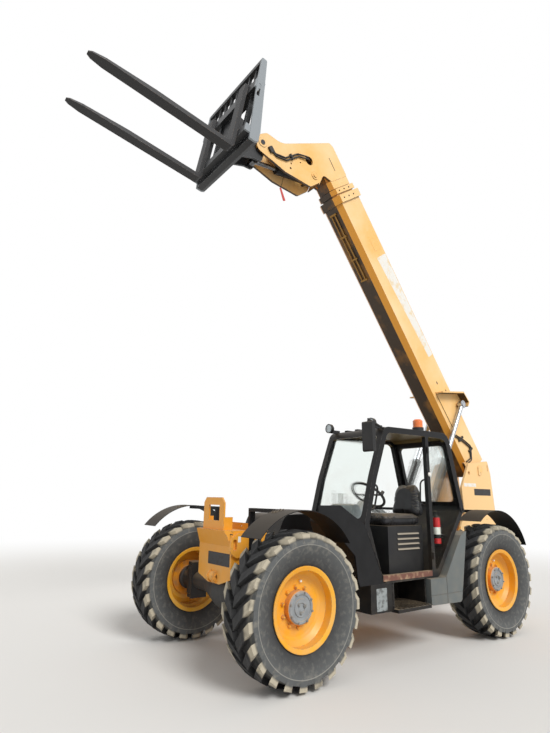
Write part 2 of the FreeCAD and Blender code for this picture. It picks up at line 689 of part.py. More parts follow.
def outer_stage():
    """The fixed stage with its pivot boss, end collar and lift-ram brackets."""
    pieces = [boom_tube(-20, OUTER_END_S, 0, OUTER_WALL)]
    pieces.append(boom_tube(OUTER_END_S - COLLAR_L, OUTER_END_S, -COLLAR_PROUD, COLLAR_PROUD))
    boss = cross_pin(0, 0, -BOOM_HALF_W, BOOM_HALF_W, BOOM_BOSS_R)
    cheek = fuse([boss, box(-20, 200, -BOOM_HALF_W, BOOM_HALF_W, -BOOM_BOSS_R, 100)])
    hollow = box(-300, 400, -BOOM_HALF_W + 40, BOOM_HALF_W - 40, -400, BOOM_TOP_T - OUTER_WALL)
    pieces += cheek.cut(hollow).Solids
    top = BOOM_TOP_T
    pieces.append(plate([(2620, top - 4), (2665, top + 32), (2815, top + 32), (2860, top - 4)], -60, 60))
    pieces += collar_pins(OUTER_END_S - COLLAR_L / 2, BOOM_TOP_T + COLLAR_PROUD)
    pad_gap = STAGE_STEP - FACE_PLAY
    pad = boom_tube(OUTER_END_S - COLLAR_L, OUTER_END_S, OUTER_WALL, pad_gap - OUTER_WALL)
    pieces.append(pad)
    pin = cross_pin(0, 0, -TOWER_OUT_Y - 12, TOWER_OUT_Y + 12, BOOM_PIN_R)
    pieces.append(pin)
    for side in (1, -1):
        pieces += lift_bracket(side)
    return fuse(pieces)


def collar_pins(s, top):
    """Two wear-pad pins that stand proud of a collar's top."""
    return [Part.makeCylinder(9, 34, V(s, y, top - 10), V(0, 0, 1)) for y in (-95, 95)]


def lift_bracket(side):
    """A welded pocket on the boom's flank, open outwards, that holds the top of a lift ram."""
    s, t = LIFT_PIN_S, LIFT_PIN_T
    flank = side * BOOM_HALF_W
    root = flank - side * POCKET_SINK
    lip_y = side * (LIFT_Y + LIFT_EYE_HALF_W + POCKET_LIP)
    # each outline is s, t, corner radius, from the pin
    back = plate([(s - 97, t + 10, 40), (s - 42, t + 137, 30), (s + 153, t + 114, 40), (s + 408, t - 351, 40),
                  (s - 263, t - 337, 60)], root, flank + side * POCKET_SHEET_T)
    shelf = plate([(s + 132, t + 100, 0), (s + 152, t + 112, 0), (s + 402, t - 344, 0),
                   (s + 386, t - 354, 0)],
                  root, lip_y)
    crown = plate([(s - 36, t + 122, 0), (s - 38, t + 136, 0), (s + 148, t + 114, 0), (s + 140, t + 100, 0)],
                  root, lip_y)
    # the cheek stops above the ram's eye, which drifts past it as the boom comes down
    cheek = plate([(s - 76, t + 59, 0), (s - 44, t + 132, 0), (s - 32, t + 126, 0), (s - 63, t + 54, 0)],
                  root, lip_y)
    stub = cross_pin(s, t, flank, side * (LIFT_Y - LIFT_EYE_HALF_W - LIFT_EAR_GAP), LIFT_PIN_R)
    return [fuse([back, shelf, crown, cheek, stub])]


def mid_stage():
    """The second stage, with its end collar and the pads that the third stage runs in."""
    tube = boom_tube(MID_START_S, MID_END_S, STAGE_STEP, STAGE_WALL)
    collar_start = MID_END_S - MID_COLLAR_L
    collar = boom_tube(collar_start, MID_END_S, 0, STAGE_STEP)
    pad = boom_tube(collar_start, MID_END_S, STAGE_STEP + STAGE_WALL, STAGE_STEP - STAGE_WALL - FACE_PLAY)
    return fuse([tube, collar, pad])


def head_plate(y0, y1):
    """One side plate of the cranked boom head."""
    ps, pt = TILT_PIN_S, TILT_PIN_T
    # s, t, corner radius, from the top of the boom round by the front
    corners = [(4650, 300, 30), (5085, 300, 60), (5150, 262, 40), (5304, -650, 260), (ps + 100, pt + 150, 60),
               (ps + 112, pt - 60, 90), (ps - 60, pt - 125, 80), (5113, -930, 60), (4960, -820, 90),
               (4680, -500, 60),
               (4690, -290, 50), (4770, -160, 60), (4650, -60, 40)]
    return plate(corners, y0, y1)


def inner_stage():
    """The third stage and the cranked head that carries the fork carriage."""
    inset = 2 * STAGE_STEP
    tube = boom_tube(INNER_START_S, INNER_END_S, inset, STAGE_WALL)
    inner_y = BOOM_HALF_W - inset
    out_y = inner_y + HEAD_PLATE_T
    sides = both_sides(head_plate(inner_y, out_y))
    front = plate([(5138, 250), (5150, 262), (5285, -560), (5330, -700), (5318, -708), (5272, -560)],
                  -inner_y, inner_y)
    top = plate([(4650, 288), (4650, 300), (5090, 300), (5146, 268), (5138, 254), (5086, 288)], -inner_y,
                inner_y)
    rear = plate([(4672, -290), (4684, -290), (4764, -160), (4752, -150)], -inner_y, inner_y)
    collar = boom_tube(MID_END_S + 10, HEAD_COLLAR_END_S, STAGE_STEP, STAGE_STEP)
    bores = [cross_pin(TILT_PIN_S, TILT_PIN_T, -out_y - 10, out_y + 10, HEAD_PIN_R + PIN_PLAY)]
    # s, t, radius of the hoses' hole and the small holes in the left plate
    holes = ((HOSE_HOLE_S, HOSE_HOLE_T, HOSE_HOLE_R), (4980, -700, 15), (5035, -650, 12), (5010, -480, 10))
    bores += [cross_pin(s, t, inner_y - 5, out_y + 5, r) for s, t, r in holes]
    bosses = both_sides(cross_pin(TILT_RAM_S, TILT_RAM_T, out_y - 1, out_y + 8, 54))
    bosses += both_sides(cross_pin(TILT_PIN_S, TILT_PIN_T, out_y - 1, out_y + 6, 62))
    pin = cross_pin(TILT_RAM_S, TILT_RAM_T, -out_y - 18, out_y + 18, 28)
    pads = collar_pins(MID_END_S + 68, BOOM_TOP_T - STAGE_STEP)
    body = fuse([tube, collar, front, top, rear] + sides + bosses + pads)
    return body.cut(bores).fuse(pin).removeSplitter()


def pipe(points, r, bend):
    """A round pipe along straight runs joined by arcs; points are given along the boom as (s, t, y)."""
    rows = [V(s, y, t) for s, t, y in points]
    edges, at = [], rows[0]
    for before, corner, after in zip(rows, rows[1:], rows[2:]):
        back, on = before - corner, after - corner
        half = back.getAngle(on) / 2
        cut = bend / tan(half)
        back.normalize()
        on.normalize()
        middle = back + on
        middle.normalize()
        start, end = corner + back * cut, corner + on * cut
        edges.append(Part.LineSegment(at, start).toShape())
        edges.append(Part.Arc(start, corner + middle * (bend / sin(half) - bend), end).toShape())
        at = end
    edges.append(Part.LineSegment(at, rows[-1]).toShape())
    wire = Part.Wire(edges)
    ring = Part.Wire(Part.makeCircle(r, rows[0], rows[1] - rows[0]))
    return wire.makePipeShell([ring], True, False)


def build_lines():
    """The hydraulic pipes and hoses that lie clipped to the boom."""
    flank = BOOM_HALF_W
    mid_y = flank + CLIP_H / 2
    lines = [pipe([(620, -60 + d, mid_y), (460, 60 + d, mid_y), (300, 150 + d, mid_y), (170 - d, 60, mid_y),
                   (190 - d, -70, mid_y)], PIPE_R, PIPE_BEND) for d in (0, PIPE_STEP)]
    clip = fuse([box(500, 530, flank, flank + CLIP_H, -20, 100),
                 box(250, 280, flank, flank + CLIP_H, 90, 190)])
    lines = [fuse(lines + [clip])]
    under = BOOM_BOTTOM_T - 16
    start, end = UNDER_PIPE_START_S, UNDER_PIPE_END_S
    rows = [pipe([(start, under, y), (end, under, y)], PIPE_R, PIPE_BEND)
            for y in (-UNDER_PIPE_Y, UNDER_PIPE_Y)]
    bars = [box(s, s + CLIP_H, -50, 50, under - 12, BOOM_BOTTOM_T) for s in (start - 20, 3560, 3900, end)]
    lines.append(fuse(rows + bars))
    save("boom_lines", on_boom(Part.makeCompound(lines)))
    side = BOOM_HALF_W - 2 * STAGE_STEP + HEAD_PLATE_T
    hs, ht = HOSE_HOLE_S, HOSE_HOLE_T
    # s from the hole, t from the hole, y: out of the hole, along the plate and down to the couplings
    hoses = [pipe([(hs + d, ht, side - 40), (hs + d, ht, side + 24), (hs + 85 + d, ht - 170, side + 14),
                   (hs + 82 + d, ht - 420, side + 14), (hs + 160 + d, ht - 550, side + 14),
                   (hs + 240 + d, ht - 590, side + 14)], HEAD_HOSE_R,
                   HEAD_HOSE_BEND) for d in (0, HEAD_HOSE_STEP)]
    straps = [box(hs + 66, hs + 146, side, side + 28, ht - 320, ht - 296)]
    ends = [box(hs + 225, hs + 300, side, side + 28, ht - 620, ht - 560)]
    save("head_hoses", on_boom(fuse(hoses + straps + ends)))


def ram_barrel(pin, far, r, eye_r, eye_half_w, rod_r, length, y):
    """A hydraulic barrel from its base pin towards far, open for the rod."""
    axis = far - pin
    axis.normalize()
    start = V(pin.x, y, pin.z)
    body = Part.makeCylinder(r, length - eye_r - EYE_GAP, start + axis * (eye_r + EYE_GAP), axis)
    neck = Part.makeCylinder(eye_half_w * 0.8, eye_r + 2 * EYE_GAP, start, axis)
    gland = Part.makeCylinder(r + GLAND_PROUD, 60, start + axis * (length - 60), axis)
    eye = cross_pin(pin.x, pin.z, y - eye_half_w, y + eye_half_w, eye_r)
    bore = Part.makeCylinder(rod_r + PIN_PLAY, length, start + axis * (eye_r + 40), axis)
    hole = cross_pin(pin.x, pin.z, y - eye_half_w - 5, y + eye_half_w + 5, eye_r * 0.5 + PIN_PLAY)
    return fuse([body, neck, gland, eye]).cut([bore, hole])


def ram_rod(pin, far, rod_r, eye_r, eye_half_w, start_at, y, pinned=False):
    """A chromed rod from start_at along the ram to its eye at far, with the pin's head in it if pinned."""
    axis = far - pin
    reach = axis.Length
    axis.normalize()
    start = V(pin.x, y, pin.z) + axis * start_at
    rod = Part.makeCylinder(rod_r, reach - start_at - eye_r * 0.6, start, axis)
    eye = cross_pin(far.x, far.z, y - eye_half_w, y + eye_half_w, eye_r)
    if pinned:
        return fuse([rod, eye, cross_pin(far.x, far.z, y, y + eye_half_w + 10, LIFT_PIN_R + 8)])
    hole = cross_pin(far.x, far.z, y - eye_half_w - 5, y + eye_half_w + 5, eye_r * 0.55)
    return fuse([rod, eye]).cut(hole)


def build_boom():
    save("boom_outer", on_boom(outer_stage()))
    save("boom_mid", on_boom(mid_stage()))
    save("boom_inner", on_boom(inner_stage()))
    lift_base = V(LIFT_BASE_X, 0, LIFT_BASE_Z)
    lift_top = boom_point(LIFT_PIN_S, LIFT_PIN_T)
    barrel_l = LIFT_CLOSED_L - LIFT_EYE_R - 15
    barrel = ram_barrel(lift_base, lift_top, LIFT_BARREL_R, LIFT_EYE_R, LIFT_EYE_HALF_W, LIFT_ROD_R, barrel_l,
                        LIFT_Y)
    save("lift_barrels", Part.makeCompound(both_sides(barrel)))
    rod = ram_rod(lift_base, lift_top, LIFT_ROD_R, LIFT_EYE_R, LIFT_EYE_HALF_W, LIFT_ROD_IN, LIFT_Y, True)
    save("lift_rods", Part.makeCompound(both_sides(rod)))
    tilt_base = boom_point(TILT_RAM_S, TILT_RAM_T)
    lever = radians(TILT_LEVER_DEG)
    tilt_end = boom_point(TILT_PIN_S + TILT_LEVER * cos(lever), TILT_PIN_T + TILT_LEVER * sin(lever))
    save("tilt_barrel", ram_barrel(tilt_base, tilt_end, TILT_BARREL_R, *TILT_BARREL_EYE, TILT_ROD_R,
                                   TILT_BARREL_L, 0))
    save("tilt_rod", ram_rod(tilt_base, tilt_end, TILT_ROD_R, *TILT_ROD_EYE, TILT_ROD_IN, 0))
    build_lines()


# Carriage and forks, drawn about the carriage pin with the forks level

def hitch_plates():
    """The two ears that hang the carriage on the head pin and take the tilt ram."""
    lever = radians(TILT_LEVER_DEG + BOOM_ANGLE - FORK_ANGLE)
    ex, ez = TILT_LEVER * cos(lever), TILT_LEVER * sin(lever)
    ear = plate([(-75, 60, 60), (40, 95, 60), (FRAME_BACK, 180, 0), (FRAME_BACK, -420, 0),
                 (ex + 60, ez - 60, 60),
                 (ex - 60, ez - 40, 50)], HITCH_PLATE_Y - HITCH_PLATE_T, HITCH_PLATE_Y)
    stub = cross_pin(ex, ez, TILT_STUB_IN_Y, HITCH_PLATE_Y, TILT_STUB_R)
    pin = cross_pin(0, 0, -HEAD_PIN_HALF_L, HEAD_PIN_HALF_L, HEAD_PIN_R)
    return fuse(both_sides(ear) + both_sides(stub) + [pin])


def fork_frame():
    """The fork frame: lower beam, mid rail, top rail, end plates and guard bars."""
    half, low, top = FRAME_HALF_W, FRAME_LOW, FRAME_TOP
    back, front = FRAME_BACK, FRAME_BACK + FRAME_DEPTH
    beam_top, heel = low + BEAM_H, front - 75
    pieces = [plate([(BEAM_BACK, low), (BEAM_BACK, beam_top), (front, beam_top), (front, low + 50),
                     (heel, low + 50),
                     (heel, low - 20), (BEAM_BACK + 40, low - 20)], -half, half)]
    pieces.append(box(back - 25, front, -half, half, MID_RAIL_LOW, MID_RAIL_TOP))
    pieces.append(box(back + 20, front - 10, -half, half, top - TOP_RAIL_H, top))
    end = plate([(BEAM_BACK, low, 10), (BEAM_BACK, beam_top, 30), (back + 20, top, 20), (front - 5, top, 20),
                 (front - 10, MID_RAIL_TOP, 20), (front - 60, beam_top, 20), (heel, low - 20, 10),
                 (BEAM_BACK + 40, low - 20, 10)], half + 4 - END_PLATE_T, half + 4)
    slot = plate([(back + 18, 60, 12), (back + 58, 60, 12), (back + 58, 120, 10), (back + 40, 130, 5),
                  (back + 58, 240, 12), (back + 26, 240, 12)], half - END_PLATE_T, half + 8)
    pieces += both_sides(end.cut(slot))
    for i in range(GUARD_BARS):
        y = -half + (i + 1) * 2 * half / (GUARD_BARS + 1)
        pieces.append(box(back + 30, front - 30, y - GUARD_BAR_HALF_W, y + GUARD_BAR_HALF_W, MID_RAIL_TOP,
                          top - TOP_RAIL_H))
    for y in (-STILE_Y, -HITCH_PLATE_Y - 80, HITCH_PLATE_Y + 80, STILE_Y):
        pieces.append(box(back, back + 60, y - STILE_HALF_W, y + STILE_HALF_W, beam_top, MID_RAIL_LOW))
    pieces.append(box(back, back + 30, -HITCH_PLATE_Y - 60, HITCH_PLATE_Y + 60, beam_top, MID_RAIL_LOW))
    return fuse(pieces)


def fork_solid(y):
    """One L-shaped fork with a drawn-down, rounded blade."""
    heel = FRAME_BACK + FRAME_DEPTH
    z, tip, shank = FORK_LOW, FORK_TIP, FORK_SHANK_TOP
    side = plate([(heel, z, 40), (tip, z, 0), (tip, z + FORK_TIP_T, 0), (heel + FORK_T + 900, z + FORK_T, 0),
                  (heel + FORK_T, z + FORK_T, 40), (heel + FORK_T, shank, 10), (heel - 40, shank, 10),
                  (heel - 40, MID_RAIL_TOP, 0), (heel, MID_RAIL_TOP, 0)], y - FORK_W / 2, y + FORK_W / 2)
    # plan view: taper to a rounded tip, x and half width
    half = FORK_W / 2
    taper = [(heel - 5, half), (tip - FORK_TAPER_L, half), (tip - 40, half * 0.7), (tip, half * 0.3)]
    rows = [(px, y - w) for px, w in taper] + [(px, y + w) for px, w in reversed(taper)]
    keep = Part.Face(Part.makePolygon([V(px, py, 0) for px, py in rows + rows[:1]])).extrude(V(0, 0, 2000))
    keep.translate(V(0, 0, z - 5))
    return side.common(keep)


def build_carriage():
    save("carriage", on_carriage(fuse([hitch_plates(), fork_frame()])))
    save("forks", on_carriage(Part.makeCompound([fork_solid(FORK_Y), fork_solid(-FORK_Y)])))


# Cab

# x, z, corner radius
CAB_SIDE = [(130, SILL_Z, 40), (392, 1262, 60), (268, 1700, 900), (66, ROOF_Z - 10, 110),
            (-1020, ROOF_Z + 10, 150),
            (-1235, 1400, 130), (-700, SILL_Z, 60)]


def cab_prism(inset, y0, y1):
    """The cab's side view moved inwards by inset, as a solid from y0 to y1."""
    wire = outline(CAB_SIDE)
    if inset:
        wire = wire.makeOffset2D(-inset)
    face = Part.Face(wire)
    face.translate(V(0, y0, 0))
    return face.extrude(V(0, y1 - y0, 0))


def window_through_x(x0, x1, y0, y1, z0, z1, r):
    """A round-cornered block along X, for cutting a window that faces forward or back."""
    face = Part.Face(outline([(y0, z0, r), (y1, z0, r), (y1, z1, r), (y0, z1, r)]))
    face.rotate(V(0, 0, 0), V(0, 0, 1), 90)
    face.translate(V(x0, 0, 0))
    solid = face.extrude(V(x1 - x0, 0, 0))
    return solid


def cab_windows():
    """The blocks that open the cab: windscreen, rear, right side and the two left openings."""
    y0, y1 = CAB_IN_Y, CAB_OUT_Y
    frame, r = FRAME_POST_W, WINDOW_CORNER_R
    back, front = DOOR_POST_X
    # x, z, corner radius
    side = [(170, 790, 40), (330, 1268, 40), (206, 1690, 800), (20, ROOF_Z - 72, 70),
            (front, ROOF_Z - 60, 20),
            (front, 790, 20)]
    quarter = [(back, ROOF_Z - 60, 20), (-960, ROOF_Z - 66, 100), (-1165, 1400, 80), (-700, 810, 30),
               (back, 790, 10)]
    right = [(300, 1320, 30), (200, 1690, 800), (20, ROOF_Z - 90, 50), (-950, ROOF_Z - 75, 80),
             (-1130, 1420, 60),
             (-900, 1300, 40)]
    return {"windscreen": window_through_x(-30, 500, y0 + frame, y1 - frame, *WINDSCREEN_Z, r),
            "rear": window_through_x(-1300, -1000, y0 + frame + 20, y1 - frame - 20, *REAR_PANE_Z, r),
            "door": plate(side, y1 - CAB_WALL - 5, y1 + 5),
            "quarter": plate(quarter, y1 - CAB_WALL - 5, y1 + 5),
            "right": plate(right, y0 - 5, y0 + CAB_WALL + 5)}


def build_cab():
    windows = cab_windows()
    hollow = cab_prism(CAB_WALL, CAB_IN_Y + CAB_WALL, CAB_OUT_Y - CAB_WALL)
    shell = cab_prism(0, CAB_IN_Y, CAB_OUT_Y).cut(hollow)
    save("cab_frame", shell.cut(list(windows.values())).fuse(cab_fittings()).removeSplitter())
    skin = cab_prism(CAB_GLASS_INSET, CAB_IN_Y + CAB_GLASS_INSET, CAB_OUT_Y - CAB_GLASS_INSET)
    core = cab_prism(CAB_GLASS_INSET + CAB_GLASS_T, CAB_IN_Y + CAB_GLASS_INSET + CAB_GLASS_T,
                     CAB_OUT_Y - CAB_GLASS_INSET - CAB_GLASS_T)
    pane_shell = skin.cut(core)
    panes = [max(pane_shell.common(windows[name]).Solids, key=lambda s: s.Volume)
             for name in ("windscreen", "rear", "quarter", "right")]
    save("cab_glass", Part.makeCompound(panes))
    floor = SILL_Z + CAB_WALL
    louvres = [louvre(*LOUVRE_X, SEAT_BOX_Y[1], z) for z in LOUVRE_Z]
    save("seat_box", fuse([box(*SEAT_BOX_X, *SEAT_BOX_Y, floor, SEAT_BOX_TOP_Z)] + louvres))
    low, top = SEAT_BOX_TOP_Z, SEAT_TOP_Z
    rest = low + FACE_PLAY
    cushion = plate([(-720, rest, 20), (-720, top - 10, 30), (-110, top, 50), (-100, rest, 40)],
                    *SEAT_CUSHION_Y)
    back = plate([(-800, low + 70, 30), (-700, low + 70, 10), (-640, top - 5, 10), (-700, top + 300, 60),
                  (-725, top + 360, 40), (-800, top + 350, 40)], *SEAT_BACK_Y)
    save("seat", fuse([cushion, back]))
    dash = plate([(150, floor, 0), (142, floor + 300, 60), (165, floor + 560, 60), (230, floor + 690, 50),
                  (360, floor + 640, 30), (330, floor + 400, 30), (170, floor, 0)], *DASH_Y)
    inside = cab_prism(CAB_WALL, CAB_IN_Y + CAB_WALL, CAB_OUT_Y - CAB_WALL)
    save("dash", dash.common(inside))
    hub = V(*STEER_HUB)
    tilt = V(-sin(radians(STEER_TILT)), 0, cos(radians(STEER_TILT)))
    ring = Part.makeTorus(STEER_RING_R, STEER_RIM_R, hub, tilt)
    column = Part.makeCylinder(STEER_COLUMN_R, STEER_COLUMN_L, hub - tilt * (STEER_COLUMN_L - 20), tilt)
    knob = Part.makeCylinder(18, 44, hub + V(0, STEER_RING_R, 0), tilt)
    spokes = [rod_between(hub, hub + V(0, side * (STEER_RING_R - 4), 0), 9) for side in (1, -1)]
    save("steering_wheel", fuse([ring, column, knob] + spokes).cut(dash))
    foot = V(*EXTINGUISHER_AT)
    shoulder = foot + V(0, 0, EXTINGUISHER_L)
    bottle = [Part.makeCylinder(EXTINGUISHER_R, EXTINGUISHER_L, foot),
              Part.makeCone(EXTINGUISHER_R, 16, 30, shoulder)]
    holder = box(foot.x - 145, foot.x - 35, foot.y - 20, foot.y + 20, foot.z + 60, foot.z + 90).common(inside)
    save("extinguisher", fuse([fuse(bottle), holder]))
    build_roof_fittings()


def louvre(x0, x1, y, z):
    """One pressed louvre that leans out of a side wall."""
    face = Part.Face(Part.makePolygon([V(x0, y - 2, z), V(x0, y + 12, z + 4), V(x0, y - 2, z + 26),
                                       V(x0, y - 2, z)]))
    return face.extrude(V(x1 - x0, 0, 0))


def on_cab(raw):
    """A fitting cut back to the cab's skin, so that it sits flush."""
    return raw.cut(cab_prism(0, CAB_IN_Y, CAB_OUT_Y))


def cab_fittings():
    """Roof ribs, the door's catch ring and its hinges, which stayed when the door went."""
    ribs = [box(-930, -60, y, y + RIB_W, ROOF_Z - 30, ROOF_Z + 18) for y in RIB_YS]
    face = CAB_OUT_Y
    hole = cross_pin(*CATCH_AT, face - 5, face + 20, CATCH_HOLE_R)
    ring = cross_pin(*CATCH_AT, face - 2, face + 10, CATCH_R).cut(hole)
    hinges = [fuse([box(HINGE_X - 24, HINGE_X, face - 2, face + 10, z, z + HINGE_H),
                    Part.makeCylinder(HINGE_PIN_R, HINGE_H, V(HINGE_X, face + 10, z),
                                      V(0, 0, 1))]) for z in HINGE_ZS]
    return [rib.cut(cab_prism(5, CAB_IN_Y, CAB_OUT_Y)) for rib in ribs] + [ring] + hinges


def build_roof_fittings():
    """Lamps, beacon and mirror on the cab's roof."""
    lamps = []
    # x, radius of a lamp's bowl, hollow at the front
    bowl = [(0, 0), (0, 30), (26, 50), (62, 52), (62, 46), (54, 44), (54, 0)]
    for y in LAMP_YS:
        arm = box(0, 118, y - 12, y + 12, ROOF_Z - 24, ROOF_Z + 12)
        lamps.append(fuse([on_cab(arm), turned_x(bowl, V(104, y, ROOF_Z + 26))]))
    x, y = BEACON_AT
    base = on_cab(Part.makeCylinder(BEACON_R + 8, 60, V(x, y, ROOF_Z - 20)))
    dome = [Part.makeCylinder(BEACON_R, 74, V(x, y, ROOF_Z + 40)),
            Part.makeCone(BEACON_R, 40, 16, V(x, y, ROOF_Z + 114))]
    save("beacon", fuse(dome))
    mx, my = MIRROR_STEM_AT
    head = plate([(284, 1950, 20), (330, 1950, 20), (336, 2250, 20), (290, 2250, 20)], my - 72, my + 68)
    face = plate([(280, 1962, 10), (288, 1962, 10), (294, 2238, 10), (280, 2238, 10)], my - 60, my + 56)
    reach = rod_between(V(30, 1036, ROOF_Z - 36), V(mx, my, ROOF_Z + 36), MIRROR_STEM_R)
    drop = rod_between(V(mx, my, ROOF_Z + 45), V(mx, my, ROOF_Z - 5), MIRROR_STEM_R)
    mirror = fuse([head.cut(face), on_cab(reach), drop])
    save("roof_fittings", Part.makeCompound(lamps + [base, mirror]))


def turned_x(profile, origin):
    """A solid of revolution about the X line through origin, from (x, radius) rows."""
    points = [V(origin.x + x, origin.y, origin.z + r) for x, r in profile]
    return Part.Face(Part.makePolygon(points + points[:1])).revolve(origin, V(1, 0, 0), 360)


# Body panels

def mudguard(arch, start_deg, end_deg):
    """An arched mudguard over a left wheel with its arm and post, between two angles from level forward."""
    cx, cz, r = arch
    a0, a1 = radians(start_deg), radians(end_deg)

    def at(radius, angle):
        return V(cx + radius * cos(angle), MUDGUARD_IN_Y, cz + radius * sin(angle))

    mid, inner = (a0 + a1) / 2, r - MUDGUARD_T
    edges = [Part.Arc(at(r, a0), at(r, mid), at(r, a1)).toShape(),
             Part.LineSegment(at(r, a1), at(inner, a1)).toShape(),
             Part.Arc(at(inner, a1), at(inner, mid), at(inner, a0)).toShape(),
             Part.LineSegment(at(inner, a0), at(r, a0)).toShape()]
    band = Part.Face(Part.Wire(edges)).extrude(V(0, MUDGUARD_OUT_Y - MUDGUARD_IN_Y, 0))
    top = cz + r - MUDGUARD_T / 2
    half = GUARD_ARM_HALF_W
    arm = box(cx - half, cx + half, RAIL_OUT_Y, MUDGUARD_IN_Y + 60, top - GUARD_ARM_H, top)
    post = box(cx - half, cx + half, RAIL_OUT_Y, RAIL_OUT_Y + half, RAIL_TOP_Z - 60, top)
    return fuse([band, arm, post])


def wing_panel():
    """The black sheet between the cab and the front left arch."""
    cx, cz, r = FRONT_ARCH
    edge = [(cx + (r - 2) * cos(radians(a)), cz + (r - 2) * sin(radians(a)))
            for a in (110, 120, 130, 140, 147)]
    rows = [(140, SILL_Z), (392, 1262), (700, 1435), (973, 1435)] + edge
    rows += [(525, 990), (495, 772), (470, SILL_Z)]
    return plate(rows, *WING_Y).cut(cab_prism(0, CAB_IN_Y, CAB_OUT_Y))


def build_panels():
    front = mudguard(FRONT_ARCH, 40, 147.5)
    right = front.mirror(V(0, 0, 0), V(0, 1, 0))
    save("front_mudguards", Part.makeCompound([fuse([front, wing_panel()]), right]))
    rear = mudguard(REAR_ARCH, 54, 160).cut(box(-2700, -2265, 0, 935, 800, 1300))
    save("rear_mudguards", Part.makeCompound(both_sides(rear)))
    tank = plate([(-490, 474, 30), (-1000, 462, 40), (-1045, 640, 300), (-1168, 1175, 10), (-1060, 1130, 20),
                  (-750, SILL_Z - 2, 60), (-490, SILL_Z - 2, 0)], *TANK_Y)
    skin = (TANK_Y[1] - 4, TANK_Y[1] + 1)
    seams = [box(-1100, -480, *skin, TANK_SEAM_Z, TANK_SEAM_Z + SEAM_W),
             box(TANK_SEAM_X, TANK_SEAM_X + SEAM_W, *skin, 440, 760)]
    save("side_tank", tank.cut(cab_prism(0, 500, 1200)).cut(seams))
    save("battery_box", box(*BATTERY_BOX, SILL_Z))
    back, front = STEP_X
    low, floor = STEP_Z
    deep = STEP_IN_Y + 12
    tread = box(back, front, STEP_IN_Y, STEP_OUT_Y, low, floor)
    teeth = [box(x, x + 14, 760, STEP_OUT_Y - 8, floor - 2, floor + 8)
             for x in range(back + 20, front - 20, 42)]
    rest = box(-150, -40, STEP_IN_Y + 10, STEP_IN_Y + 22, 520, 650)
    cheeks = [box(x, x + STEP_CHEEK_T, STEP_IN_Y, 1060, floor, SILL_Z) for x in (back, front - STEP_CHEEK_T)]
    riser = box(back + STEP_CHEEK_T, front - STEP_CHEEK_T, STEP_IN_Y, deep, floor, SILL_Z)
    save("step", fuse([tread, riser, rest] + cheeks + teeth))
    mounts = [box(x, x + CAB_MOUNT_L, RAIL_OUT_Y, CAB_MOUNT_OUT_Y, SILL_Z - 122,
                  SILL_Z) for x in CAB_MOUNT_XS]
    save("cab_mounts", Part.makeCompound(mounts))
    build_pod()
    front_x = NOSE_X + NOSE_BRACKET_OUT
    top, shoulder = NOSE_BRACKET_TOP, NOSE_BRACKET_TOP - 50
    bracket = plate_x([(-195, NOSE_TOP_Z), (-195, shoulder), (-150, top), (150, top), (195, shoulder),
                       (195, NOSE_TOP_Z)], front_x, front_x + NOSE_BRACKET_T)
    window = box(front_x - 5, front_x + 25, -90, 110, NOSE_TOP_Z + 85, shoulder - 23)
    feet = [box(front_x - 90, front_x + 1, y, y + 14, NOSE_TOP_Z, NOSE_TOP_Z + 120) for y in (-190, 176)]
    save("nose_bracket", fuse([bracket.cut(window)] + feet))
    y0, y1, z0, z1 = TAIL_LAMP
    lamps = [box(TAIL_X - TAIL_LAMP_T, TAIL_X, side * y0, side * y1, z0, z1) for side in (1, -1)]
    save("rear_lamps", Part.makeCompound(lamps))


def vents(x_rows, z_rows, size):
    """Louvre ribs on the pod's outer side, one at each x and z."""
    length, height = size
    return [box(x, x + length, POD_OUT_Y - VENT_OUT, POD_OUT_Y + 1, z,
                z + height) for x in x_rows for z in z_rows]


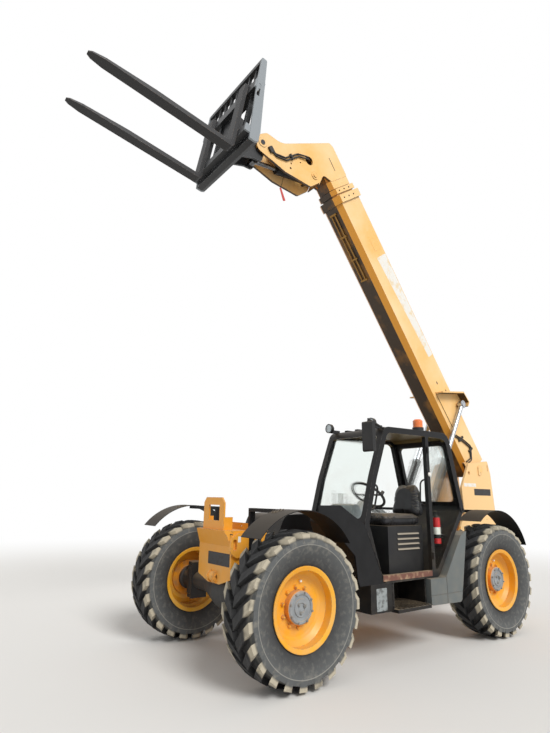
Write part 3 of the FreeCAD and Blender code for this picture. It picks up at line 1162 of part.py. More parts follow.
def build_pod():
    """The engine's tub, its hinged bonnet, the exhaust and the engine block."""
    tub = box(POD_REAR_X, POD_FRONT_X, POD_OUT_Y, POD_IN_Y, POD_BOTTOM_Z, POD_SPLIT_Z)
    tub = tub.cut(box(POD_REAR_X + POD_WALL, POD_FRONT_X - POD_WALL, POD_OUT_Y + POD_WALL,
                      POD_IN_Y - POD_WALL,
                      POD_BOTTOM_Z + POD_WALL, POD_SPLIT_Z + 1))
    hangers = [box(x, x + 120, POD_IN_Y, -RAIL_OUT_Y, *POD_HANGER_Z)
               for x in (POD_REAR_X + 300, POD_FRONT_X - 420)]
    lid_z = POD_SPLIT_Z + BONNET_GAP
    ears, straps = [], []
    ear_w, strap_w = HINGE_EAR_W, HINGE_STRAP_W
    for x in HINGE_XS:
        ear_x = x - ear_w - BONNET_GAP
        bore = Part.makeCylinder(HINGE_PIN_R + PIN_PLAY, ear_w, V(ear_x, HINGE_Y, HINGE_Z), V(1, 0, 0))
        ring = Part.makeCylinder(HINGE_KNUCKLE_R, ear_w, V(ear_x, HINGE_Y, HINGE_Z), V(1, 0, 0))
        web = box(ear_x, ear_x + ear_w, POD_IN_Y, HINGE_Y, HINGE_Z - 40, HINGE_Z)
        ears.append(fuse([ring, web]).cut(bore))
        straps += [box(x, x + strap_w, POD_IN_Y - 5, HINGE_Y, lid_z, lid_z + 9),
                   Part.makeCylinder(HINGE_KNUCKLE_R, strap_w, V(x, HINGE_Y, HINGE_Z), V(1, 0, 0)),
                   Part.makeCylinder(HINGE_PIN_R, strap_w + 45, V(x - 45, HINGE_Y, HINGE_Z), V(1, 0, 0))]
    save("engine_pod", fuse([tub] + hangers + ears + vents((-900, -240), range(700, 960, 40), TUB_VENT)))
    stack_x = POD_REAR_X - 62
    stack = fuse([Part.makeCylinder(STACK_R, 640, V(stack_x, STACK_Y, 930)),
                  Part.makeCylinder(STACK_BOX_R, 300, V(stack_x, STACK_Y, 1080)),
                  box(POD_REAR_X - 60, POD_REAR_X, STACK_Y - 20, STACK_Y + 20, 950, 990)])
    save("exhaust", stack.cut(Part.makeCylinder(STACK_BORE_R, 80, V(stack_x, STACK_Y, 1500))))
    wall = POD_WALL
    shape = [(POD_REAR_X, lid_z, 0), (POD_REAR_X, POD_TOP_Z - 60, 80), (POD_HUMP_X, POD_TOP_Z, 300),
             (POD_FRONT_X - 120, POD_TOP_Z - 30, 120), (POD_FRONT_X, lid_z, 0)]
    lid = plate(shape, POD_OUT_Y, POD_IN_Y)
    hollow = plate([(POD_REAR_X + wall, lid_z - 5, 0), (POD_REAR_X + wall, POD_TOP_Z - 60 - wall, 60),
                    (POD_HUMP_X, POD_TOP_Z - wall, 300),
                    (POD_FRONT_X - 120 - wall, POD_TOP_Z - 30 - wall, 100),
                    (POD_FRONT_X - wall - 8, lid_z - 5, 0)], POD_OUT_Y + wall, POD_IN_Y - wall)
    lid_vents = vents((-860, -420), range(1070, 1210, 34), LID_VENT)
    save("bonnet", fuse([lid.cut(hollow)] + straps + lid_vents))
    save("engine", box(*ENGINE_BLOCK, POD_BOTTOM_Z + wall, POD_TOP_Z - 120))


def plate_x(corners, x0, x1):
    """A flat plate that faces forward, from (y, z) corners."""
    points = [V(x0, y, z) for y, z in corners]
    return Part.Face(Part.makePolygon(points + points[:1])).extrude(V(x1 - x0, 0, 0))


wheel_set()
build_chassis()
build_boom()
build_carriage()
build_cab()
build_panels()
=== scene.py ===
# %% [markdown]
# A telehandler, dressed on its engineering frame.
# The frame brings the machine as named nodes that already sit in place and ride on the right body.
# This lesson gives each node the finish of the real thing and adds the pieces that a maker would bolt on.

from math import cos, pi, radians, sin

import bmesh
import bpy
from mathutils import Matrix, Vector
from mathutils.bvhtree import BVHTree


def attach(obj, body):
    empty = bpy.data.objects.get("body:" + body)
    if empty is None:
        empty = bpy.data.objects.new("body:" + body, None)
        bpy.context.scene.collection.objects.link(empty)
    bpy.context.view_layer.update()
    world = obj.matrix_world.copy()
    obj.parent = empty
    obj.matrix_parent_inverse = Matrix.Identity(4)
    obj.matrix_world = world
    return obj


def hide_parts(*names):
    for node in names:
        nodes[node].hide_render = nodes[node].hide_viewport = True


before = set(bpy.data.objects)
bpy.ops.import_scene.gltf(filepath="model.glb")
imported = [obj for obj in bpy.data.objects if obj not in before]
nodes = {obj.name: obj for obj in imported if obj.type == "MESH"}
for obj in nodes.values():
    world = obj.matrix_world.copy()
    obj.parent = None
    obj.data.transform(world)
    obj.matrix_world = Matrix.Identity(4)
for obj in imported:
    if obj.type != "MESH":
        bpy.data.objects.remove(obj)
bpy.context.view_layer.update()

# %% [markdown]
# The camera stands in front and to the machine's left, low down.
# Its place comes from fitting the wheel circles and hubs of the photograph to the frame.
# Three unit vectors make its rotation: to the right, up, and back from the view.

# %% Camera
CAMERA_AT = Vector((4.08965, 4.55231, 1.49355))
CAMERA_YAW, CAMERA_PITCH, CAMERA_ROLL = -2.21244103, 0.25314942, 0.0160202
# The picture is taller than it is wide, so the sensor's width lies along its height.
FOCAL_PIXELS, IMAGE_HEIGHT, SENSOR_MM = 507.496, 733, 36


def placed(name, data):
    """A new object in the scene."""
    thing = bpy.data.objects.new(name, data)
    bpy.context.scene.collection.objects.link(thing)
    return thing


ahead = Vector((cos(CAMERA_PITCH) * cos(CAMERA_YAW), cos(CAMERA_PITCH) * sin(CAMERA_YAW), sin(CAMERA_PITCH)))
level_right = ahead.cross(Vector((0, 0, 1))).normalized()
level_up = level_right.cross(ahead)
right = level_right * cos(CAMERA_ROLL) + level_up * sin(CAMERA_ROLL)
up = level_up * cos(CAMERA_ROLL) - level_right * sin(CAMERA_ROLL)
turn = Matrix((right, up, -ahead)).transposed().to_4x4()

camera_data = bpy.data.cameras.new("camera")
camera_data.sensor_width = SENSOR_MM
camera_data.lens = FOCAL_PIXELS / IMAGE_HEIGHT * SENSOR_MM
camera = placed("camera", camera_data)
camera.matrix_world = Matrix.Translation(CAMERA_AT) @ turn
bpy.context.scene.camera = camera
print("lens", round(camera_data.lens, 2), "mm")

# %% [markdown]
# Every finish is a small tree of shader nodes.
# One helper adds a node with its settings and fills its sockets with numbers, colours or outputs.
# Colours are written as the hex values a paint chart would give and turned to linear light here.

# %% Helpers for finishes
MM = 0.001


def linear(hex_colour):
    """An sRGB hex colour as the linear RGBA that a socket takes."""
    parts = [int(hex_colour[i:i + 2], 16) / 255 for i in (1, 3, 5)]
    return [c / 12.92 if c <= 0.04045 else ((c + 0.055) / 1.055) ** 2.4 for c in parts] + [1.0]


def fill(tree, node, sockets):
    """Each (socket, value or output) of the list set or linked on a node."""
    for socket, value in sockets:
        if isinstance(value, bpy.types.NodeSocket):
            tree.links.new(value, node.inputs[socket])
        else:
            node.inputs[socket].default_value = value


def add(tree, kind, sockets=(), **settings):
    """One node in a tree; sockets is a list of (input, value or output)."""
    node = tree.nodes.new(kind)
    for name, value in settings.items():
        setattr(node, name, value)
    fill(tree, node, sockets)
    return node


def start_finish(name):
    """A new material with its shader and the piece's own coordinates in metres."""
    material = bpy.data.materials.new(name)
    material.use_nodes = True
    tree = material.node_tree
    place = add(tree, "ShaderNodeTexCoord").outputs["Object"]
    return material, tree, tree.nodes["Principled BSDF"], place


def maths(tree, operation, *values):
    """One step of arithmetic on numbers or outputs."""
    return add(tree, "ShaderNodeMath", enumerate(values), operation=operation).outputs[0]


def times(tree, a, b):
    return maths(tree, "MULTIPLY", a, b)


def part_of(tree, vector, axis):
    return add(tree, "ShaderNodeSeparateXYZ", [(0, vector)]).outputs[axis]


def ramp(tree, value, low, high):
    """0 at low, 1 at high, straight in between; it may run downhill."""
    return add(tree, "ShaderNodeMapRange", [("Value", value), ("From Min", low), ("From Max", high)],
               clamp=True).outputs["Result"]


def spread(tree, mask, least, most):
    """A mask turned to a value from least to most."""
    return add(tree, "ShaderNodeMapRange",
               [("Value", mask), ("To Min", least), ("To Max", most)]).outputs["Result"]


def noise_of(tree, place, size_mm, detail):
    return add(tree, "ShaderNodeTexNoise",
               [("Vector", place), ("Scale", 1 / (size_mm * MM)), ("Detail", detail)]).outputs["Fac"]


def cloud(tree, place, size_mm, low, high, detail=4):
    """Soft patches of about the given size, as a 0 to 1 mask between two noise levels."""
    return ramp(tree, noise_of(tree, place, size_mm, detail), low, high)


def bumps(tree, strength, depth_mm, height):
    """The normal of a surface raised by a height pattern."""
    return add(tree, "ShaderNodeBump",
               [("Strength", strength), ("Distance", depth_mm * MM), ("Height", height)]).outputs[0]


def grain_cells(tree, place, size_mm):
    """The rounded cells of a leathery grain."""
    return add(tree, "ShaderNodeTexVoronoi",
               [("Vector", place), ("Scale", 1 / (size_mm * MM))]).outputs["Distance"]


def ribs(tree, place, pitch_mm, direction):
    """Parallel ribs at a pitch; the wave texture repeats every 0.314 of its own units."""
    return add(tree, "ShaderNodeTexWave", [("Vector", place), ("Scale", 0.314 / (pitch_mm * MM))],
               bands_direction=direction).outputs["Fac"]


def blend_colour(tree, mask, under, over):
    """Over laid on under where the mask is 1; each is a hex colour or an output."""
    pair = [linear(c) if isinstance(c, str) else c for c in (under, over)]
    return add(tree, "ShaderNodeMix", [("Factor", mask), (6, pair[0]), (7, pair[1])],
               data_type="RGBA").outputs[2]


def marked(tree, place, colour, marks):
    """A colour with each (mask function, colour) mark laid on it in turn."""
    for mask, mark in marks:
        colour = blend_colour(tree, mask(tree, place), colour, mark)
    return colour


def skyward(tree):
    """How far a face points up, from -1 to 1."""
    return part_of(tree, add(tree, "ShaderNodeNewGeometry").outputs["Normal"], "Z")


def facing_up(tree):
    """A mask of faces that dust can settle on."""
    return ramp(tree, skyward(tree), 0.25, 0.95)


def facing_down(tree, least, most):
    """A mask of faces by how far their normal points down, from least to most."""
    return ramp(tree, skyward(tree), -least, -most)


def worn_edges(tree, place, radius_mm, chip_mm):
    """A broken line along sharp edges, where paint rubs through first."""
    sharp = add(tree, "ShaderNodeNewGeometry").outputs["Normal"]
    soft = add(tree, "ShaderNodeBevel", [("Radius", radius_mm * MM)], samples=4).outputs["Normal"]
    alike = add(tree, "ShaderNodeVectorMath", [(0, sharp), (1, soft)],
                operation="DOT_PRODUCT").outputs["Value"]
    return times(tree, ramp(tree, alike, 0.98, 0.90), cloud(tree, place, chip_mm, 0.46, 0.58))


def dust_low_down(tree, place, low_m, high_m):
    """1 at low_m above the ground, fading to 0 at high_m."""
    return ramp(tree, part_of(tree, place, "Z"), high_m, low_m)


def beyond(limit_m, soft_m=0.004):
    """A mark's mask: what lies further out than a limit to either side of the machine."""
    return lambda tree, place: ramp(tree, maths(tree, "ABSOLUTE", part_of(tree, place, "Y")),
                                    limit_m, limit_m + soft_m)


def between(low_m, high_m, axis="Z"):
    """A mark's mask: the band between two limits, by height if no other axis is given."""
    def band(tree, place):
        value = part_of(tree, place, axis)
        return times(tree, maths(tree, "GREATER_THAN", value, low_m), maths(tree, "LESS_THAN", value, high_m))
    return band


# %% [markdown]
# Machine enamel is an air-dried polyurethane sprayed over primer on folded and welded plate.
# The eye sees a satin coat with a faint orange peel, patches that the sun has faded, tan site dust on
# everything that faces up and on the lower parts, and chips to grey primer along the edges.
# The same coat in a few pigments covers most of the machine, so one function builds it.

# %% Enamelled plate
DUST = "#B8A283"
PRIMER = "#6E6A64"
WORN_BLACK = "#5A5854"
TOWER_X, TOWER_Z, HEAD_HEIGHT = (-4.0, -2.28), (1.0, 2.6), 2.1


def enamel(name, paint, faded, gloss, dust_share, wear=PRIMER, marks=(), thrown_share=1.0, shine=0.5):
    """Sprayed enamel on plate, with fade, dust, edge chips and (mask function, colour) marks."""
    material, tree, shader, place = start_finish(name)
    # Fade runs in patches of about 0.9 m, and finer mottling of 60 mm breaks them up.
    colour = blend_colour(tree, cloud(tree, place, 900, 0.38, 0.66, detail=6), paint, faded)
    colour = blend_colour(tree, times(tree, cloud(tree, place, 60, 0.5, 0.75), 0.25), colour, faded)
    colour = marked(tree, place, colour, marks)
    colour = blend_colour(tree, worn_edges(tree, place, 7, 22), colour, wear)
    # Dust settles on top, and the wheels throw more of it at what is under 1.25 m.
    settled = times(tree, facing_up(tree), cloud(tree, place, 160, 0.25, 0.65, detail=7))
    thrown = times(tree, dust_low_down(tree, place, 0.35, 1.25), cloud(tree, place, 110, 0.35, 0.7, detail=7))
    dust = maths(tree, "MAXIMUM", settled, times(tree, thrown, thrown_share))
    dust = times(tree, dust, dust_share)
    colour = blend_colour(tree, dust, colour, DUST)
    # Orange peel is about 3 mm across; it is drawn at 9 mm so that it still shows at this distance.
    peel = noise_of(tree, place, 9, 2)
    fill(tree, shader, [("Base Color", colour), ("Roughness", spread(tree, dust, gloss, 0.85)),
                        ("Normal", bumps(tree, 0.12, 0.5, peel)), ("Specular IOR Level", shine)])
    return material


def tower(tree, place):
    """The tower behind the cab, painted paler as painted sunlight."""
    return times(tree, between(*TOWER_X, "X")(tree, place), between(*TOWER_Z)(tree, place))


def painted_shade_corner(tree, place):
    """The folded corners under the boom, painted a deeper amber as painted shade."""
    return facing_down(tree, 0.2, 0.38)


def painted_shade_belly(tree, place):
    """The boom's flat underside, painted dark brown in patches as painted shade."""
    return times(tree, facing_down(tree, 0.46, 0.55), cloud(tree, place, 300, 0.0, 0.5, detail=6))


def lining(tree, place):
    """The cab roof's lining: what faces down inside, above head height."""
    high = maths(tree, "GREATER_THAN", part_of(tree, place, "Z"), HEAD_HEIGHT)
    return times(tree, high, maths(tree, "LESS_THAN", skyward(tree), -0.7))


yellow = enamel("yellow_enamel", "#EBA02A", "#EFB052", 0.38, 0.45, marks=[(tower, "#F4C98C")])
# The boom's yellow is paler than the chassis's: painted sunlight on the boom, with some sun fading.
boom_yellow = enamel("boom_enamel", "#F4BE6E", "#F7D5A0", 0.42, 0.3,
                     marks=[(painted_shade_corner, "#D6922C"), (painted_shade_belly, "#3E2C16")])
rim_yellow = enamel("rim_enamel", "#EDA20E", "#EFAF2C", 0.34, 0.4)
black = enamel("black_enamel", "#0C0C0E", "#141416", 0.45, 0.2, WORN_BLACK, thrown_share=0.3, shine=0.3)
grey = enamel("grey_enamel", "#565B5B", "#646A69", 0.5, 0.4, thrown_share=0.3)
step_black = enamel("step_enamel", "#0B0B0D", "#151516", 0.5, 0.6, WORN_BLACK, thrown_share=0.08, shine=0.3)
cab_black = enamel("cab_frame_enamel", "#09090B", "#111113", 0.45, 0.14, WORN_BLACK, [(lining, "#6A5A38")],
                   shine=0.3)
# The fork frame's end plates, past 0.575 m, are galvanised and its bars are black.
frame_black = enamel("fork_frame_enamel", "#18191B", "#2A2B2D", 0.42, 0.4, "#8F9496",
                     [(beyond(0.575), "#8C9296")])
enamels = (yellow, boom_yellow, rim_yellow, black, grey, step_black, cab_black, frame_black)
print("enamels:", [m.name for m in enamels])

# %% [markdown]
# Tyre rubber is carbon-black compound pressed in a steel mould.
# It is nearly matt and goes grey with age. Mud dries on the ends of the lugs, and dust greys the sidewall.
# The wheels share one material, so its rings are centred by folding the machine's length about mid-wheelbase.

# %% Tyre rubber
FRONT_AXLE_X, REAR_AXLE_X, AXLE_Z, WHEEL_Y = 1.16, -1.82, 0.615, 0.945
AXLE_MIDDLE_X, HALF_WHEELBASE = -0.33, 1.49
# corner, place along the machine, side
WHEELS = [(f"{axle}_{side}", x, y) for axle, x in (("front", FRONT_AXLE_X), ("rear", REAR_AXLE_X))
          for side, y in (("left", 1), ("right", -1))]


def away_from(tree, value, middle):
    """How far a value is from a middle, on either side."""
    return maths(tree, "ABSOLUTE", maths(tree, "SUBTRACT", value, middle))


def wheel_radius(tree, place):
    """The distance of a point from the nearer axle's line, in metres."""
    from_middle = away_from(tree, part_of(tree, place, "X"), AXLE_MIDDLE_X)
    x = maths(tree, "SUBTRACT", from_middle, HALF_WHEELBASE)
    z = maths(tree, "SUBTRACT", part_of(tree, place, "Z"), AXLE_Z)
    flat = add(tree, "ShaderNodeCombineXYZ", [("X", x), ("Z", z)]).outputs[0]
    return add(tree, "ShaderNodeVectorMath", [(0, flat)], operation="LENGTH").outputs["Value"]


def tyre_rubber():
    material, tree, shader, place = start_finish("moulded_tyre_rubber")
    radius = wheel_radius(tree, place)
    side = maths(tree, "ABSOLUTE", part_of(tree, place, "Y"))
    colour = blend_colour(tree, cloud(tree, place, 45, 0.35, 0.7), "#29292A", "#343434")
    # The sidewall is rubbed grey by dust, more so towards the shoulder, and scuffs streak it lightly.
    wall = times(tree, ramp(tree, radius, 0.33, 0.52), ramp(tree, radius, 0.560, 0.545))
    colour = blend_colour(tree, wall, colour, "#585A5A")
    scuffs = times(tree, wall, cloud(tree, place, 40, 0.5, 0.75, detail=8))
    colour = blend_colour(tree, scuffs, colour, "#77756E")
    # Mud is on the lugs past a radius of 0.56 m and within 60 mm of either edge of the tread.
    from_centre = away_from(tree, side, WHEEL_Y)
    ends = times(tree, ramp(tree, radius, 0.548, 0.565), ramp(tree, from_centre, 0.130, 0.150))
    mud = times(tree, ends, cloud(tree, place, 90, 0.15, 0.45, detail=6))
    colour = blend_colour(tree, mud, colour, "#B5AC98")
    # Three moulded lines ring the sidewall, each about 7 mm wide, and wear has bleached the outer one.
    rings = [ramp(tree, away_from(tree, radius, at), 5 * MM, 2 * MM) for at in (0.352, 0.395, 0.503)]
    colour = blend_colour(tree, times(tree, rings[2], 0.6), colour, "#9A9890")
    grain = noise_of(tree, place, 6, 3)
    for ring in rings:
        grain = maths(tree, "ADD", grain, ring)
    fill(tree, shader, [("Base Color", colour), ("Normal", bumps(tree, 0.5, 1.5, grain)), ("Roughness", 0.8)])
    return material


rubber = tyre_rubber()
print("finish:", rubber.name)

# %% [markdown]
# Ram rods are induction-hardened steel with hard chrome, ground to a mirror. Oil film and faint rings of
# grinding soften the reflection a little.
# Forks are forged alloy steel with thin black paint, rubbed bright and brown on top by pallets.
# Castings and pins keep a coarse sand or as-machined skin.

# %% Bare metals
def chrome_rod(name, bright, oiled):
    """Hard chrome under an oil film."""
    material, tree, shader, place = start_finish(name)
    film = cloud(tree, place, 35, 0.4, 0.7)
    fill(tree, shader, [("Base Color", blend_colour(tree, film, bright, oiled)),
                        ("Roughness", spread(tree, film, 0.26, 0.4)), ("Metallic", 1)])
    return material


def forged_steel():
    material, tree, shader, place = start_finish("forged_fork_steel")
    rubbed = times(tree, facing_up(tree), cloud(tree, place, 90, 0.35, 0.6, detail=6))
    bare = maths(tree, "MAXIMUM", rubbed, worn_edges(tree, place, 6, 30))
    steel = blend_colour(tree, cloud(tree, place, 25, 0.4, 0.65, detail=6), "#8A8178", "#7A5638")
    fill(tree, shader, [("Base Color", blend_colour(tree, bare, "#1E1D1E", steel)),
                        ("Roughness", spread(tree, bare, 0.55, 0.42)),
                        ("Normal", bumps(tree, 0.35, 0.6, noise_of(tree, place, 5, 4)))])
    return material


def cast_iron(name, colour, deep, marks=()):
    """Painted casting with a sandy skin, and marks as on the enamel."""
    material, tree, shader, place = start_finish(name)
    skin = cloud(tree, place, 7, 0.3, 0.7)
    base = marked(tree, place, linear(colour), marks)
    base = blend_colour(tree, times(tree, cloud(tree, place, 80, 0.35, 0.65, detail=6), 0.45), base, deep)
    base = blend_colour(tree, times(tree, facing_up(tree), 0.5), base, DUST)
    fill(tree, shader, [("Base Color", base), ("Normal", bumps(tree, 0.45, 0.8, skin)), ("Roughness", 0.6)])
    return material


chrome = chrome_rod("hard_chrome", "#C4C8CE", "#A2A4A6")
dull_chrome = chrome_rod("oiled_chrome", "#77797C", "#56524C")
forged = forged_steel()
# The hub's barrel is sprayed with the rim, and its cover is left grey.
hub_iron = cast_iron("grey_hub_casting", "#F29C12", "#6A6A6C", [(beyond(1.04), "#94989A")])
axle_iron = cast_iron("dark_axle_casting", "#3B3A39", "#2A2928")
print("metals:", [m.name for m in (chrome, dull_chrome, forged, hub_iron, axle_iron)])

# %% [markdown]
# Cab glass is 6 mm toughened float glass with a faint green tint and a film of dust low on each pane.
# The dash and wheel are moulded polypropylene and polyurethane with a leathery grain, so they stay matt.
# Lenses are polycarbonate dyed through, with ribs pressed in that throw the light about.

# %% Glass and plastics
def cab_pane():
    material, tree, shader, place = start_finish("tinted_float_glass")
    film = times(tree, cloud(tree, place, 180, 0.4, 0.8, detail=6), dust_low_down(tree, place, 1.1, 2.0))
    # A low index and some see-through keep what stands behind two panes straight and bright.
    fill(tree, shader, [("Base Color", blend_colour(tree, film, "#E4F0EA", "#C9C3B4")),
                        ("Roughness", spread(tree, film, 0.01, 0.05)), ("Transmission Weight", 1),
                        ("IOR", 1.05), ("Alpha", 0.3)])
    return material


def moulded(name, colour, dusty, grain_mm, dust_share=0.35, marks=(), shine=0.5):
    """Grained moulded plastic, with dust on top and marks as on the enamel."""
    material, tree, shader, place = start_finish(name)
    base = blend_colour(tree, cloud(tree, place, 120, 0.4, 0.7, detail=5), colour, dusty)
    base = marked(tree, place, base, marks)
    base = blend_colour(tree, times(tree, facing_up(tree), dust_share), base, DUST)
    grain = grain_cells(tree, place, grain_mm)
    fill(tree, shader, [("Base Color", base), ("Normal", bumps(tree, 0.3, 0.4, grain)), ("Roughness", 0.62),
                        ("Specular IOR Level", shine)])
    return material


def lens(name, colour, rib_highlight):
    """A clear-coated coloured lens with pressed ribs 8 mm apart, painted lighter along the ribs as a painted
    highlight.
    """
    material, tree, shader, place = start_finish(name)
    pressed = ribs(tree, place, 8, "Z")
    fill(tree, shader, [("Base Color", blend_colour(tree, pressed, colour, rib_highlight)),
                        ("Normal", bumps(tree, 0.5, 1.2, pressed)), ("Roughness", 0.18),
                        ("Coat Weight", 0.5), ("Subsurface Weight", 0.2)])
    return material


pane = cab_pane()
dash_plastic = moulded("grained_dash_plastic", "#7F8688", "#94999A", 4)
# The seat box's louvres stand proud and are painted paler: partly dust, partly a painted sunlit highlight.
box_black = moulded("seat_box_paint", "#121214", "#1E1D1C", 9, 0.25, [(beyond(0.9215), "#9A9284")])
black_plastic = moulded("black_moulded_plastic", "#171718", "#242322", 4, 0.2)
# Mudguards are rotationally moulded polyethylene, scuffed grey only along the outer lip.
guard_plastic = moulded("mudguard_polyethylene", "#0B0B0D", "#141416", 7, 0.1, [(beyond(1.141), "#5C5E62")],
                        0.3)
print("cab finishes:", [m.name for m in (pane, dash_plastic, box_black, black_plastic, guard_plastic)])

# %% [markdown]
# Each frame node gets its finish by name. A node that is made in both paints keeps the one that shows most.

# %% Dress the frame
BOTTLE_MARKS = [(between(1.135, 1.21), "#E6E4DE"), (between(1.095, 1.135), "#1A1A1C"),
                (between(1.31, 1.40), "#1A1A1C")]
red = enamel("red_enamel", "#C0161C", "#C8383A", 0.25, 0.15, marks=BOTTLE_MARKS)
exhaust_steel = cast_iron("heat_stained_steel", "#5A4638", "#33302E")
oiled_rubber = moulded("hydraulic_hose_rubber", "#1A1A1B", "#2C2A27", 5)
# The steel lines up the boom are painted with it near the top.
line_paint = moulded("boom_line_paint", "#1A1A1B", "#2C2A27", 5, marks=[(between(3.9, 9), "#A67A34")])
beacon_lens = lens("amber_polycarbonate", "#E8661A", "#F08A3A")
tail_lens = lens("red_polycarbonate", "#B41A14", "#D8541E")
NODES_BY_FINISH = [
    (yellow, "chassis cab_mounts engine_pod nose_bracket"),
    (boom_yellow, "boom_outer boom_mid boom_inner"),
    (black, "lift_barrels tilt_barrel bonnet"),
    (step_black, "step battery_box"),
    (cab_black, "cab_frame"), (frame_black, "carriage"), (grey, "side_tank"), (red, "extinguisher"),
    (axle_iron, "front_axle rear_axle engine"), (exhaust_steel, "exhaust"),
    (chrome, "lift_rods"), (dull_chrome, "tilt_rod"), (forged, "forks"),
    (pane, "cab_glass"), (box_black, "seat_box"), (dash_plastic, "dash"),
    (black_plastic, "seat steering_wheel roof_fittings"),
    (guard_plastic, "front_mudguards rear_mudguards"),
    (line_paint, "boom_lines"), (oiled_rubber, "head_hoses"),
    (beacon_lens, "beacon"), (tail_lens, "rear_lamps")]
NODES_BY_FINISH += [(finish, " ".join(kind + corner for corner, _, _ in WHEELS)) for finish, kind in (
    (rubber, "tyre_"), (rim_yellow, "rim_"), (hub_iron, "hub_"), (axle_iron, "knuckle_"))]
finish_of = {name: finish for finish, names in NODES_BY_FINISH for name in names.split()}
for name, node in nodes.items():
    node.data.materials.clear()
    node.data.materials.append(finish_of[name])
print("dressed:", len(finish_of), "nodes")

# %% [markdown]
# Most small parts sit on surfaces that the frame already has, so their places are found and not typed in.
# A ray is sent at a node's mesh from outside, and where it lands gives both the seat and the way it faces.
# Places on the boom are given in its own line, in millimetres along, up and to the left.

# %% Places on the machine
BOOM_PIVOT, BOOM_RISE = Vector((-2.894, 0, 1.939)), radians(54)
BOOM_FLANK, INNER_FLANK = 170, 146
SIDES = (1, -1)
LEFT, RIGHT, UP, FORWARD = (0, 1, 0), (0, -1, 0), (0, 0, 1), (1, 0, 0)
hulls = {}


def on_boom(along, rise, left):
    """A point on the boom from millimetres along it, up from it and to its left."""
    return BOOM_PIVOT + Vector((along * cos(BOOM_RISE) - rise * sin(BOOM_RISE), left,
                                along * sin(BOOM_RISE) + rise * cos(BOOM_RISE))) * MM


def landing(node, start, heading):
    """Where a ray first meets a node, and the way that the surface faces there."""
    if node not in hulls:
        mesh = nodes[node].data
        hulls[node] = BVHTree.FromPolygons([v.co for v in mesh.vertices], [f.vertices for f in mesh.polygons])
    place, facing, _, _ = hulls[node].ray_cast(Vector(start), Vector(heading))
    return place, facing


def as_shown(thing):
    """A plain mesh of an object as its modifiers leave it."""
    return bpy.data.meshes.new_from_object(thing.evaluated_get(bpy.context.evaluated_depsgraph_get()))


def smoothed(mesh, degrees):
    """Smooth shading, but for edges that turn by more than an angle."""
    mesh.shade_smooth()
    mesh.set_sharp_from_angle(angle=radians(degrees))
    return mesh


def finished(name, mesh, body, material):
    """A piece with its material, riding on its body."""
    mesh.materials.clear()
    mesh.materials.append(material)
    piece = placed(name, mesh)
    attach(piece, body)
    return piece


hub_face, _ = landing("hub_front_left", (FRONT_AXLE_X, 2, 0.7), RIGHT)
print("front left hub face at", [round(c, 3) for c in hub_face])

# %% [markdown]
# Bolts, nuts, weld beads and hoses all repeat one small shape along points or a line.
# Geometry Nodes are made for that: each tree below is built once, with named sizes, and grown many times.
# The result becomes a plain mesh, because the export keeps no live instances.

# %% Growing with Geometry Nodes
def tree_with(name, sizes):
    """An empty geometry tree with a geometry going in and out and the named inputs."""
    tree = bpy.data.node_groups.new(name, "GeometryNodeTree")
    tree.interface.new_socket("Geometry", in_out="INPUT", socket_type="NodeSocketGeometry")
    for label, kind in sizes:
        tree.interface.new_socket(label, in_out="INPUT", socket_type="NodeSocket" + kind)
    tree.interface.new_socket("Geometry", in_out="OUTPUT", socket_type="NodeSocketGeometry")
    return tree, add(tree, "NodeGroupInput").outputs


def end_tree(tree, geometry, finish):
    """Closes a tree: real geometry, its material, and the way out."""
    real = add(tree, "GeometryNodeRealizeInstances", [("Geometry", geometry)]).outputs[0]
    dressed = add(tree, "GeometryNodeSetMaterial", [("Geometry", real), ("Material", finish)]).outputs[0]
    add(tree, "NodeGroupOutput", [("Geometry", dressed)])
    return tree


def grown(name, seed_mesh, tree, sizes, body, material):
    """Grows a tree on a mesh and keeps the outcome as a plain piece that rides on a body."""
    seed = placed(name + "_seed", seed_mesh)
    modifier = seed.modifiers.new("grow", "NODES")
    modifier.node_group = tree
    wanted = sizes | {"Finish": material}
    for item in tree.interface.items_tree:
        if item.item_type == "SOCKET" and item.in_out == "INPUT" and item.name in wanted:
            modifier[item.identifier] = wanted[item.name]
    mesh = as_shown(seed)
    seed.modifiers.remove(modifier)
    bpy.data.objects.remove(seed)
    return finished(name, smoothed(mesh, 38), body, material)


def turned_along(tree, axis, direction):
    """The rotation that lays a shape's own axis along a direction."""
    return add(tree, "FunctionNodeAlignRotationToVector", [("Vector", direction)], axis=axis).outputs[0]


def fastener_tree():
    """A washer, a head with flats and a short shank end, stood on every point and turned to face out."""
    tree, given = tree_with("fastener", [("Sides", "Int"), ("Radius", "Float"), ("Height", "Float"),
                                         ("Washer", "Float"), ("Finish", "Material")])
    # Each row is a disc of the fastener: its sides, its radius and height as shares of the head's, its lift.
    parts = []
    for sides, share, tall, lift in ((18, given["Washer"], 0.22, 0.11), (given["Sides"], 1.0, 1.0, 0.5),
                                     (10, 0.55, 0.4, 1.15)):
        radius, depth, raised = (times(tree, given[size], part) for size, part in
                                 (("Radius", share), ("Height", tall), ("Height", lift)))
        disc = add(tree, "GeometryNodeMeshCylinder",
                   [("Vertices", sides), ("Radius", radius), ("Depth", depth)]).outputs["Mesh"]
        at = add(tree, "ShaderNodeCombineXYZ", [("Z", raised)]).outputs[0]
        parts.append(add(tree, "GeometryNodeTransform", [("Geometry", disc), ("Translation", at)]))
    joined = add(tree, "GeometryNodeJoinGeometry")
    for part in parts:
        tree.links.new(part.outputs[0], joined.inputs[0])
    facing = add(tree, "GeometryNodeInputNamedAttribute", [("Name", "facing")], data_type="FLOAT_VECTOR")
    stood = add(tree, "GeometryNodeInstanceOnPoints",
                [("Points", given["Geometry"]), ("Instance", joined.outputs[0]),
                 ("Rotation", turned_along(tree, "Z", facing.outputs[0]))])
    return end_tree(tree, stood.outputs[0], given["Finish"])


